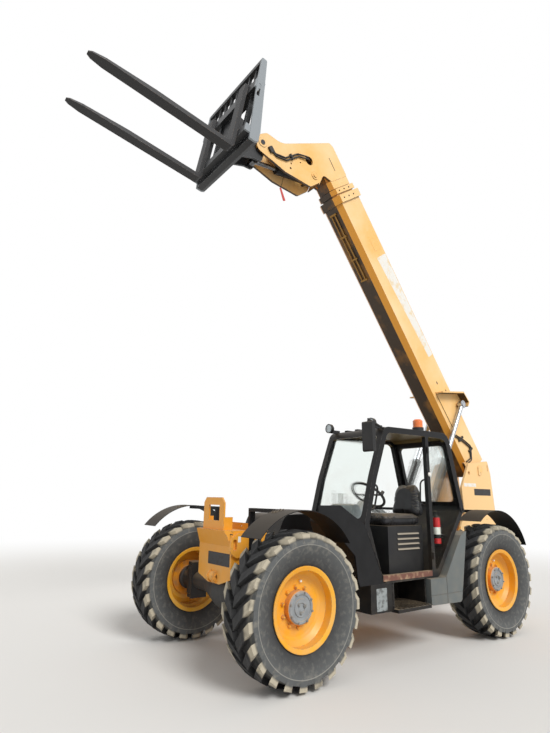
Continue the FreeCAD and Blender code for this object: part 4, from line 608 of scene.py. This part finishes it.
def bead_tree():
    """Overlapping weld ripples along an edge, one every step."""
    tree, given = tree_with("weld_bead", [("Step", "Float"), ("Width", "Float"), ("Finish", "Material")])
    line = add(tree, "GeometryNodeMeshToCurve", [("Mesh", given["Geometry"])])
    spots = add(tree, "GeometryNodeCurveToPoints", [("Curve", line.outputs[0]), ("Length", given["Step"])],
                mode="LENGTH").outputs
    ripple = add(tree, "GeometryNodeMeshIcoSphere", [("Radius", 1.0), ("Subdivisions", 2)])
    half, reach = times(tree, given["Width"], 0.5), times(tree, given["Step"], 0.7)
    scale = add(tree, "ShaderNodeCombineXYZ", [("X", reach), ("Y", half), ("Z", half)])
    laid = add(tree, "GeometryNodeInstanceOnPoints",
               [("Points", spots["Points"]), ("Rotation", turned_along(tree, "X", spots["Tangent"])),
                ("Instance", ripple.outputs[0]), ("Scale", scale.outputs[0])])
    return end_tree(tree, laid.outputs[0], given["Finish"])


def hose_tree():
    """A round tube along an edge, with its corners turned to bends."""
    tree, given = tree_with("hose", [("Bend", "Float"), ("Radius", "Float"), ("Finish", "Material")])
    line = add(tree, "GeometryNodeMeshToCurve", [("Mesh", given["Geometry"])])
    bent = add(tree, "GeometryNodeFilletCurve",
               [("Curve", line.outputs[0]), ("Count", 7), ("Radius", given["Bend"]), ("Limit Radius", True)],
               mode="POLY")
    ring = add(tree, "GeometryNodeCurvePrimitiveCircle", [("Resolution", 12), ("Radius", given["Radius"])])
    tube = add(tree, "GeometryNodeCurveToMesh",
               [("Curve", bent.outputs[0]), ("Profile Curve", ring.outputs["Curve"]), ("Fill Caps", True)])
    return end_tree(tree, tube.outputs[0], given["Finish"])


fastener, bead, hose = fastener_tree(), bead_tree(), hose_tree()


def facing_points(name, rows):
    """Loose points that each carry the way their fastener faces."""
    mesh = bpy.data.meshes.new(name)
    mesh.from_pydata([place for place, _ in rows], [], [])
    facing = mesh.attributes.new("facing", "FLOAT_VECTOR", "POINT")
    for i, (_, out) in enumerate(rows):
        facing.data[i].vector = out
    return mesh


def lines_mesh(name, lines):
    """Open lines as edges, ready for a tree that follows them."""
    points, edges = [], []
    for line in lines:
        start = len(points)
        points += [Vector(p) for p in line]
        edges += [(i, i + 1) for i in range(start, len(points) - 1)]
    mesh = bpy.data.meshes.new(name)
    mesh.from_pydata(points, edges, [])
    return mesh


def bent_tube(name, lines, bend_mm, radius_mm, body, material):
    """Bent tube or wire along open lines."""
    return grown(name, lines_mesh(name, lines), hose, {"Bend": bend_mm * MM, "Radius": radius_mm * MM}, body,
                 material)


print("trees:", [tree.name for tree in (fastener, bead, hose)])

# %% [markdown]
# Ten wheel nuts clamp each rim to its hub, eight cap screws hold the hub's cover and three plugs close its
# oil holes.
# A ray towards each wheel finds the rim disc and the hub's face, so the fasteners sit on them exactly.
# They turn with the wheel, so each wheel body gets one mesh for each kind.

# %% Wheel nuts and hub screws
# kind, node it sits on, ring radius, how many, sides, head radius, height, washer share, all sizes in mm
WHEEL_ROWS = (("wheel_nuts", "rim_", 158, 10, 6, 15, 18, 1.25),
              ("hub_screws", "hub_", 118, 8, 12, 9, 8, 1.05),
              ("hub_plugs", "hub_", 40, 3, 6, 11, 9, 1.5))
# The first one stands this share of a step round the ring from straight ahead.
FIRST_NUT_SHARE = 0.35
nut_steel = cast_iron("zinc_plated_nut", "#8B8C8A", "#5F5C57")
for corner, x, y in WHEELS:
    for kind, node, ring, count, sides, head, height, washer in WHEEL_ROWS:
        rows = []
        for i in range(count):
            angle = 2 * pi * (i + FIRST_NUT_SHARE) / count
            start = (x + ring * MM * cos(angle), 2 * y, AXLE_Z + ring * MM * sin(angle))
            rows.append((landing(node + corner, start, (0, -y, 0))[0], (0, y, 0)))
        grown(f"{kind}_{corner}", facing_points(kind, rows), fastener,
              {"Sides": sides, "Radius": head * MM, "Height": height * MM, "Washer": washer},
              "wheel_" + corner, rim_yellow if node == "rim_" else nut_steel)
print("nuts, screws and plugs a wheel:", sum(row[3] for row in WHEEL_ROWS))

# %% [markdown]
# Plates of the boom's collars, the mudguards and the tower are held by set screws with flat hexagon heads.
# Each row below names its node and the line of the ray that finds its seat.

# %% Bolts on the body and boom
body_bolts = [("front_mudguards", (x, y * side, 2.0), (0, 0, -1))
              for y in (0.89, 0.93) for x in (1.27, 1.31, 1.35) for side in SIDES]
body_bolts += [("chassis", (x, side, 1.30), (0, -side, 0)) for x in (-2.60, -2.78) for side in SIDES]
# body, radius of its bolt heads in mm, rays
bolt_rows = [("chassis", 11, body_bolts)]
for body, along in (("boom_outer", 4385), ("boom_mid", 4500)):
    bolt_rows.append((body, 7, [(body, on_boom(along, rise, 600 * side), (0, -side, 0))
                                for rise in (-20, 90, 200) for side in SIDES]))
plain_screw = cast_iron("painted_screw", "#3A3835", "#6B5B45")
for body, head, rays in bolt_rows:
    grown("bolts_" + body, facing_points("bolts_" + body, [landing(*ray) for ray in rays]), fastener,
          {"Sides": 6, "Radius": head * MM, "Height": 8 * MM, "Washer": 1.6}, body, plain_screw)
print("bolts:", {body: len(rays) for body, _, rays in bolt_rows})

# %% [markdown]
# The pocket that takes the lift ram is welded round its edge to the boom's flank, under the paint, and a long
# seam runs along the foot of the tower on either side.
# A real ripple is about 4 mm long; here one every 9 mm shows at this distance with a fifth of the faces.

# %% Weld beads
BEAD_MM = 9
POCKET = ((833, 342), (889, 466), (1083, 443), (1338, -20), (668, -6), (833, 342))
pocket_lines = [[on_boom(along, rise, side * (BOOM_FLANK + 2)) for along, rise in POCKET] for side in SIDES]
seam_lines = [[(x * MM, side * 0.286, 1.241) for x in (-3188, -2345)] for side in SIDES]
for body, lines, coat in (("boom_outer", pocket_lines, boom_yellow), ("chassis", seam_lines, yellow)):
    piece = grown("weld_" + body, lines_mesh("weld_" + body, lines), bead,
                  {"Step": BEAD_MM * MM, "Width": BEAD_MM * MM}, body, coat)
    print(piece.name, len(piece.data.polygons), "faces")

# %% [markdown]
# Bare plates and a pale band break up the boom, the tower and the nose, as on a machine that was repainted.
# Each is a thin sheet with rounded corners, set a hair proud of the metal, so it catches light at its edge.
# The strips along the sill, the mirror's glass and the red tag at the boom's head are thin sheets too, and so
# is a small white sheet on the nose's lug, a painted highlight.

# %% Bare plates
def rounded(corners, radius, steps=4):
    """The corners of a flat outline with each one turned to a short arc."""
    outline = []
    for i, corner in enumerate(corners):
        before, after = corners[i - 1] - corner, corners[(i + 1) % len(corners)] - corner
        start, end = corner + before.normalized() * radius, corner + after.normalized() * radius
        for k in range(steps + 1):
            f = k / steps
            outline.append(start.lerp(corner, f).lerp(corner.lerp(end, f), f))
    return outline


def mesh_from(name, shape):
    """A built shape as a mesh whose faces all look outwards."""
    bmesh.ops.recalc_face_normals(shape, faces=shape.faces)
    mesh = bpy.data.meshes.new(name)
    shape.to_mesh(mesh)
    shape.free()
    return mesh


def block(name, rings):
    """A closed loft through rings with the same number of points."""
    shape = bmesh.new()
    loops = [[shape.verts.new(p) for p in ring] for ring in rings]
    count = len(loops[0])
    for a, b in zip(loops, loops[1:]):
        for i in range(count):
            j = (i + 1) % count
            shape.faces.new((a[i], a[j], b[j], b[i]))
    shape.faces.new(loops[0])
    shape.faces.new(loops[-1])
    return mesh_from(name, shape)


def thin_plate(name, corners, facing, thick, radius, body, material):
    """A flat sheet on a surface that faces a given way; its back stays 15 % of its thickness clear."""
    proud = Vector(facing).normalized() * thick * MM
    outline = rounded([Vector(c) for c in corners], radius * MM)
    mesh = block(name, [[p + proud * lift for p in outline] for lift in (0.15, 1)])
    return finished(name, mesh, body, material)


def sheet_finish(name, colour, scuffed, scuff_mm, roughness):
    """A coated sheet whose colour is rubbed through in patches."""
    material, tree, shader, place = start_finish(name)
    scuffs = cloud(tree, place, scuff_mm, 0.5, 0.66, detail=8)
    base = blend_colour(tree, scuffs, colour, scuffed)
    base = blend_colour(tree, times(tree, facing_up(tree), 0.5), base, DUST)
    fill(tree, shader, [("Base Color", base), ("Roughness", spread(tree, scuffs, roughness, 0.75))])
    return material


white_vinyl = sheet_finish("sun_bleached_white_vinyl", "#E9E6DE", "#E7D3B0", 70, 0.45)
black_vinyl_and_slot_shade = sheet_finish("black_vinyl_and_slot_shade", "#1D1D20", "#3A3532", 30, 0.4)
bare_steel = sheet_finish("scuffed_zinc_sheet", "#8E9494", "#5E605F", 40, 0.5)
silvered = chrome_rod("silvered_mirror_glass", "#DDE2E4", "#C9CBC8")
tag_red = moulded("red_tag_plastic", "#BE3B38", "#CC5A52", 4, 0.1)
worn_oxide = sheet_finish("worn_red_oxide_strip", "#6B4336", "#A08368", 55, 0.6)


def oblong(u0, u1, v0, v1):
    return (u0, v0), (u1, v0), (u1, v1), (u0, v1)


def side_rows(x0, x1, z0, z1, y):
    """An upright oblong that faces left, from limits in mm."""
    return [(x * MM, y * MM, z * MM) for x, z in oblong(x0, x1, z0, z1)]


def boom_rows(along_low, along_high, rises, left):
    """Four corners on the boom's flank; rises are bottom and top at the low end, then at the high end."""
    low0, low1, high0, high1 = rises
    return [on_boom(along, rise, left) for along, rise in
            ((along_low, low0), (along_high, high0), (along_high, high1), (along_low, low1))]


BAND = (1810, 3445, (200, 311, 95, 311))
# name, corners, the way it faces, thickness and corner radius in mm, body, finish
PLATES = [
    ("band_boom_left", boom_rows(*BAND, BOOM_FLANK), LEFT, 0.6, 12, "boom_outer", white_vinyl),
    ("band_boom_right", boom_rows(*BAND, -BOOM_FLANK), RIGHT, 0.6, 12, "boom_outer", white_vinyl),
    ("patch_boom_left", boom_rows(3540, 3720, (120, 265, 115, 300), BOOM_FLANK), LEFT, 1.2, 8, "boom_outer",
     boom_yellow),
    ("plate_tower_low", side_rows(-3120, -2700, 1572, 1664, 285), LEFT, 1.2, 8, "chassis", black_vinyl_and_slot_shade),
    ("plate_tower_high", side_rows(-2755, -2462, 1690, 1738, 285), LEFT, 0.8, 6, "chassis", white_vinyl),
    ("plate_nose", [(1.390, y * MM, z * MM) for y, z in oblong(-118, 280, 858, 975)], FORWARD, 1.2, 8,
     "chassis", black_vinyl_and_slot_shade),
    # A small white sheet on the nose's lug is a painted highlight.
    ("painted_highlight_lug", side_rows(1308, 1340, 1082, 1136, 335), LEFT, 0.8, 5, "chassis", white_vinyl),
    ("plate_box", side_rows(112, 256, 487, 684, 1055), LEFT, 1.5, 10, "chassis", bare_steel),
    ("sill_top", [(x * MM, y * MM, 0.790) for x, y in oblong(-590, 160, 1017, 1062)], UP, 1.5, 3, "chassis",
     worn_oxide),
    ("sill_lip", side_rows(-590, 160, 741, 790, 1060), LEFT, 2.0, 3, "chassis", worn_oxide),
]
# Black sheets mark the slots on the boom's left side: painted shade in the openings.
for name, body, along, rise, left in (("slot_head", "boom_inner", (4768, 4959), (104, 116), INNER_FLANK),
                                      ("slot_boom_low", "boom_outer", (1206, 1250), (219, 239), BOOM_FLANK),
                                      ("slot_boom_high", "boom_outer", (1402, 1446), (105, 125), BOOM_FLANK)):
    PLATES.append((name, boom_rows(*along, rise * 2, left), LEFT, 0.8, 5, body, black_vinyl_and_slot_shade))
for name, corners, facing, thick, radius, body, coat in PLATES:
    thin_plate(name, corners, facing, thick, radius, body, coat)
mirror_x = landing("roof_fittings", (0.15, 1.07, 2.10), FORWARD)[0].x
thin_plate("mirror_glass", [(mirror_x, y, z) for y, z in oblong(1.022, 1.118, 1.975, 2.225)], (-1, 0, 0),
           1.0, 14, "chassis", silvered)
TAG = [(0.667, 0.002, 5.319), (0.641, 0.002, 5.330), (0.568, 0.002, 5.171), (0.605, 0.002, 5.155)]
thin_plate("tag_head", TAG, LEFT, 5, 7, "tilt_barrel", tag_red)
print("plates:", len(PLATES), "mirror at", round(mirror_x, 4))

# %% [markdown]
# Turned parts are a profile spun round a line: lamp glasses, the valve on the extinguisher, the bar's knob,
# the shroud of the steering column and the tyre valves.
# The spin is closed at both ends, its doubles are merged and its normals are made to face out.

# %% Turned parts
def turned(name, profile, origin, axis, body, material, steps=28):
    """A solid of revolution from (distance along the axis, radius) rows in mm."""
    along = Vector(axis).normalized()
    across = along.orthogonal().normalized()
    shape = bmesh.new()
    ring = [shape.verts.new(Vector(origin) + (along * d + across * r) * MM) for d, r in profile]
    edges = [shape.edges.new(pair) for pair in zip(ring, ring[1:])]
    bmesh.ops.spin(shape, geom=ring + edges, cent=Vector(origin), axis=along, angle=2 * pi, steps=steps,
                   use_merge=True)
    bmesh.ops.remove_doubles(shape, verts=shape.verts, dist=0.05 * MM)
    return finished(name, smoothed(mesh_from(name, shape), 40), body, material)


def fluted_glass():
    """Pressed glass with vertical flutes 6 mm wide."""
    material, tree, shader, place = start_finish("fluted_lamp_glass")
    haze = blend_colour(tree, cloud(tree, place, 30, 0.4, 0.7), "#C9D6DC", "#A9B2B2")
    fill(tree, shader, [("Base Color", haze), ("Normal", bumps(tree, 0.6, 1.5, ribs(tree, place, 6, "Y"))),
                        ("Roughness", 0.12), ("Coat Weight", 0.6)])
    return material


lamp_glass = fluted_glass()
for side, y in (("right", 0.330), ("left", 0.965)):
    turned("lamp_glass_" + side, [(0, 0), (0, 43.5), (4, 43), (7, 30), (8, 0)], (0.1585, y, 2.261), FORWARD,
           "chassis", lamp_glass)
turned("valve_extinguisher",
       [(0, 0), (0, 26), (8, 26), (12, 15), (30, 15), (34, 21), (48, 21), (52, 9), (62, 0)],
       (-0.845, 0.960, 1.3265), UP, "chassis", black_plastic)
turned("knob_door_bar", [(0, 0), (0, 17), (5, 22), (14, 21), (20, 13), (22, 0)], (-0.626, 1.0605, 1.766),
       LEFT, "chassis", white_vinyl)
turned("shroud_column", [(0, 0), (0, 72), (150, 68), (268, 54), (280, 46), (280, 0)], (0.162, 0.660, 1.234),
       (-0.257, 0, 0.306), "chassis", dash_plastic)
# A tyre valve stands on the rim disc, 0.2 m above the axle and 30 mm behind it.
for corner, x, y in WHEELS:
    seat, _ = landing("rim_" + corner, (x - 0.03, 2 * y, AXLE_Z + 0.200), (0, -y, 0))
    turned("valve_" + corner, [(0, 0), (0, 7), (9, 7), (9, 11), (24, 10), (26, 0)], seat, (0, y, 0),
           "wheel_" + corner, white_vinyl, 12)
print("turned parts ready")

# %% [markdown]
# Grab handles are bent steel tube in black powder coat, so they are lines with rounded corners.
# The same tree draws a small wire on the nose bracket and the stiff one that the red tag hangs by.

# %% Handles and wires
# name, corners of its line, bend and tube radius in mm, finish
PIPES = [
    ("handle_door_bar",
     [(-0.640, 1.020, 1.715), (-0.560, 0.995, 1.700), (-0.545, 0.990, 1.460), (-0.640, 1.020, 1.425)],
     60, 9, black),
    ("handle_front_pillar",
     [(0.236, 1.040, 1.640), (0.120, 1.000, 1.620), (0.190, 1.000, 1.400), (0.318, 1.040, 1.400)],
     50, 10, black),
    ("wire_nose",
     [(1.400, 0.109, 1.323), (1.400, 0.135, 1.230), (1.400, 0.214, 1.161), (1.400, 0.339, 1.151)],
     45, 4.5, black_plastic),
]
for name, line, bend, radius, coat in PIPES:
    bent_tube(name, [line], bend, radius, "chassis", coat)
# The tag's wire ends 4 mm inside the underside of the tilt ram, found by a ray sent up from the tag.
hang, _ = landing("tilt_barrel", (0.600, 0.002, 5.330), UP)
tie = [(0.652, 0.002, 5.318), (0.625, 0.002, 5.400), (0.600, 0.002, hang.z + 0.004)]
bent_tube("tag_wire", [tie], 30, 3, "tilt_barrel", black_plastic)
print("pipes:", len(PIPES), "tag wire up to", round(hang.z, 3))

# %% [markdown]
# The seat is foam under black grained vinyl, sewn from panels with a piped seam.
# A cloth simulation blows each pad up a little from a smaller block, which crowns its faces and draws its
# edges in.
# The movement is capped, so that the pad stays in the room that the frame keeps for it.

# %% Seat pads
PAD_VOXEL_MM, PAD_CAP_MM, PAD_PRESSURE, CLOTH_FRAMES = 6, 24, 4, 20


def vinyl():
    """Grained upholstery vinyl; the 1 mm grain is drawn at 5 mm so that it shows."""
    material, tree, shader, place = start_finish("grained_black_vinyl")
    base = blend_colour(tree, cloud(tree, place, 90, 0.4, 0.7, detail=6), "#16171B", "#26262A")
    base = blend_colour(tree, times(tree, facing_up(tree), 0.3), base, DUST)
    grain = bumps(tree, 0.35, 0.6, grain_cells(tree, place, 5))
    fill(tree, shader, [("Base Color", base), ("Normal", grain), ("Roughness", 0.48)])
    return material


def plumped(name, mesh):
    """A block remeshed, blown up by cloth pressure and capped, as one smooth closed mesh."""
    pad = placed(name, mesh)
    remesh = pad.modifiers.new("remesh", "REMESH")
    remesh.mode, remesh.voxel_size = "VOXEL", PAD_VOXEL_MM * MM
    even = as_shown(pad)
    pad.modifiers.remove(remesh)
    pad.data = even
    start = [v.co.copy() for v in even.vertices]
    cloth = pad.modifiers.new("cloth", "CLOTH")
    cloth.settings.use_pressure = True
    cloth.settings.uniform_pressure_force = PAD_PRESSURE
    cloth.settings.effector_weights.gravity = 0
    for frame_number in range(1, CLOTH_FRAMES + 1):
        bpy.context.scene.frame_set(frame_number)
    blown = as_shown(pad)
    pad.modifiers.remove(cloth)
    for vertex, old in zip(blown.vertices, start):
        step = vertex.co - old
        if step.length > PAD_CAP_MM * MM:
            vertex.co = old + step.normalized() * PAD_CAP_MM * MM
    pad.data = blown
    bpy.context.scene.frame_set(1)
    smooth = pad.modifiers.new("smooth", "SUBSURF")
    smooth.levels = smooth.render_levels = 1
    done = as_shown(pad)
    bpy.data.objects.remove(pad)
    done.shade_smooth()
    return done


def cushion_ring(z, lift, inset):
    """The cushion's outline at a height in mm, its front edge lifted and its sides drawn in."""
    right, left = 447 + inset, 873 - inset
    corners = ((-700, right, z), (-120, right, z + lift), (-120, left, z + lift), (-700, left, z))
    return rounded([Vector(p) * MM for p in corners], 55 * MM)


BACK_FOOT, BACK_MIDDLE = 1318, Vector((0, 665, 1500))
BACK_OUTLINE = [(473, BACK_FOOT), (862, BACK_FOOT), (850, 1560), (790, 1676), (540, 1676), (480, 1560)]


def back_ring(x, lean, share):
    """The back's outline about its middle at a share of its size, leaning back with the height."""
    flats = [BACK_MIDDLE + (Vector((0, y, z)) - BACK_MIDDLE) * share for y, z in BACK_OUTLINE]
    return rounded([Vector((x + lean * (p.z - BACK_FOOT), p.y, p.z)) * MM for p in flats], 60 * MM)


cushion_rings = [cushion_ring(*row) for row in ((1246, 0, 10), (1262, 0, 0), (1308, 6, 0), (1322, 8, 22))]
back_rings = [back_ring(*row) for row in
              ((-782, 0, 0.9), (-768, 0, 0.98), (-671, -0.18, 0.97), (-655, -0.18, 0.88))]
seat_vinyl = vinyl()
pads = []
for name, rings in (("pad_seat_cushion", cushion_rings), ("pad_seat_back", back_rings)):
    mesh = plumped(name, block(name + "_block", rings))
    pad = finished(name, mesh, "chassis", seat_vinyl)
    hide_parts("seat")
    pads.append(pad)
    low, high = ([round(pick(v.co[i] for v in mesh.vertices), 3) for i in range(3)] for pick in (min, max))
    print(name, low, high, len(mesh.polygons), "faces")

# %% [markdown]
# Piped seams join the seat's panels: a cord sewn into a strip of the same vinyl.
# A plane cuts each pad where its top and side panels meet, and the hose tree runs a thin tube round that cut.

# %% Piped seams
def cut_round(name, mesh, place, facing):
    """The closed line where a plane crosses a mesh."""
    shape = bmesh.new()
    shape.from_mesh(mesh)
    everything = shape.verts[:] + shape.edges[:] + shape.faces[:]
    cut = bmesh.ops.bisect_plane(shape, geom=everything, plane_co=place, plane_no=facing, dist=1e-6)
    kept = {v for v in cut["geom_cut"] if isinstance(v, bmesh.types.BMVert)}
    bmesh.ops.delete(shape, geom=[v for v in shape.verts if v not in kept], context="VERTS")
    bmesh.ops.delete(shape, geom=shape.faces[:], context="FACES_ONLY")
    return mesh_from(name, shape)


for pad, place, facing in ((pads[0], (0, 0, 1.302), UP), (pads[1], (-0.700, 0.665, 1.318), (1, 0, 0.18))):
    seam = grown("seam_" + pad.name, cut_round("seam", pad.data, place, facing), hose,
                 {"Bend": 0.0, "Radius": 4.5 * MM}, "chassis", black_plastic)
    print(seam.name, len(seam.data.polygons), "faces")

# %% [markdown]
# The stage is one pale floor that brightens with distance until it meets a white world, so no horizon shows.
# Light is soft and from all round, with one broad lamp high on the left for shape.
# The world shines at full white only for what the camera or a reflection sees of it.

# %% Stage and light
FLOOR_HALF, FLOOR_CLEAR, FLOOR_FADED = 60, 6.5, 15
WHITE, SOFT_LIGHT = (1, 1, 1, 1), 0.55
LAMP_STRENGTH, LAMP_SPREAD = 2.3, radians(24)


def white_when_seen(tree):
    """A strength of 1 for camera, glossy and see-through rays, and less for the light itself."""
    path = add(tree, "ShaderNodeLightPath").outputs
    seen = path["Is Camera Ray"]
    for ray in ("Is Glossy Ray", "Is Transmission Ray"):
        seen = maths(tree, "MAXIMUM", seen, path[ray])
    return spread(tree, seen, SOFT_LIGHT, 1)


world = bpy.data.worlds.new("studio")
bpy.context.scene.world = world
world.use_nodes = True
sky = world.node_tree
fill(sky, sky.nodes["Background"], [("Color", WHITE), ("Strength", white_when_seen(sky))])

floor_material, floor_tree, floor_shader, floor_place = start_finish("pale_floor")
fill(floor_tree, floor_shader, [("Base Color", linear("#E3E1DD")), ("Roughness", 0.9)])
distance = add(floor_tree, "ShaderNodeVectorMath", [(0, floor_place)], operation="LENGTH").outputs["Value"]
far = add(floor_tree, "ShaderNodeMapRange",
          [("Value", distance), ("From Min", FLOOR_CLEAR), ("From Max", FLOOR_FADED)],
          clamp=True, interpolation_type="SMOOTHSTEP").outputs["Result"]
glow = add(floor_tree, "ShaderNodeEmission", [("Color", WHITE), ("Strength", white_when_seen(floor_tree))])
both = add(floor_tree, "ShaderNodeMixShader", [(0, far), (1, floor_shader.outputs[0]), (2, glow.outputs[0])])
fill(floor_tree, floor_tree.nodes["Material Output"], [("Surface", both.outputs[0])])

floor_mesh = bpy.data.meshes.new("floor")
floor_corners = [(x, y, 0) for x, y in oblong(-FLOOR_HALF, FLOOR_HALF, -FLOOR_HALF, FLOOR_HALF)]
floor_mesh.from_pydata(floor_corners, [], [(0, 1, 2, 3)])
floor_mesh.materials.append(floor_material)
floor = placed("floor", floor_mesh)

lamp_data = bpy.data.lights.new("broad_lamp", "SUN")
lamp_data.energy, lamp_data.angle = LAMP_STRENGTH, LAMP_SPREAD
lamp = placed("broad_lamp", lamp_data)
lamp.rotation_euler = Vector((0.05, 0.85, 0.72)).to_track_quat("Z", "Y").to_euler()
bpy.context.scene.view_settings.view_transform = "Standard"
print("stage ready")
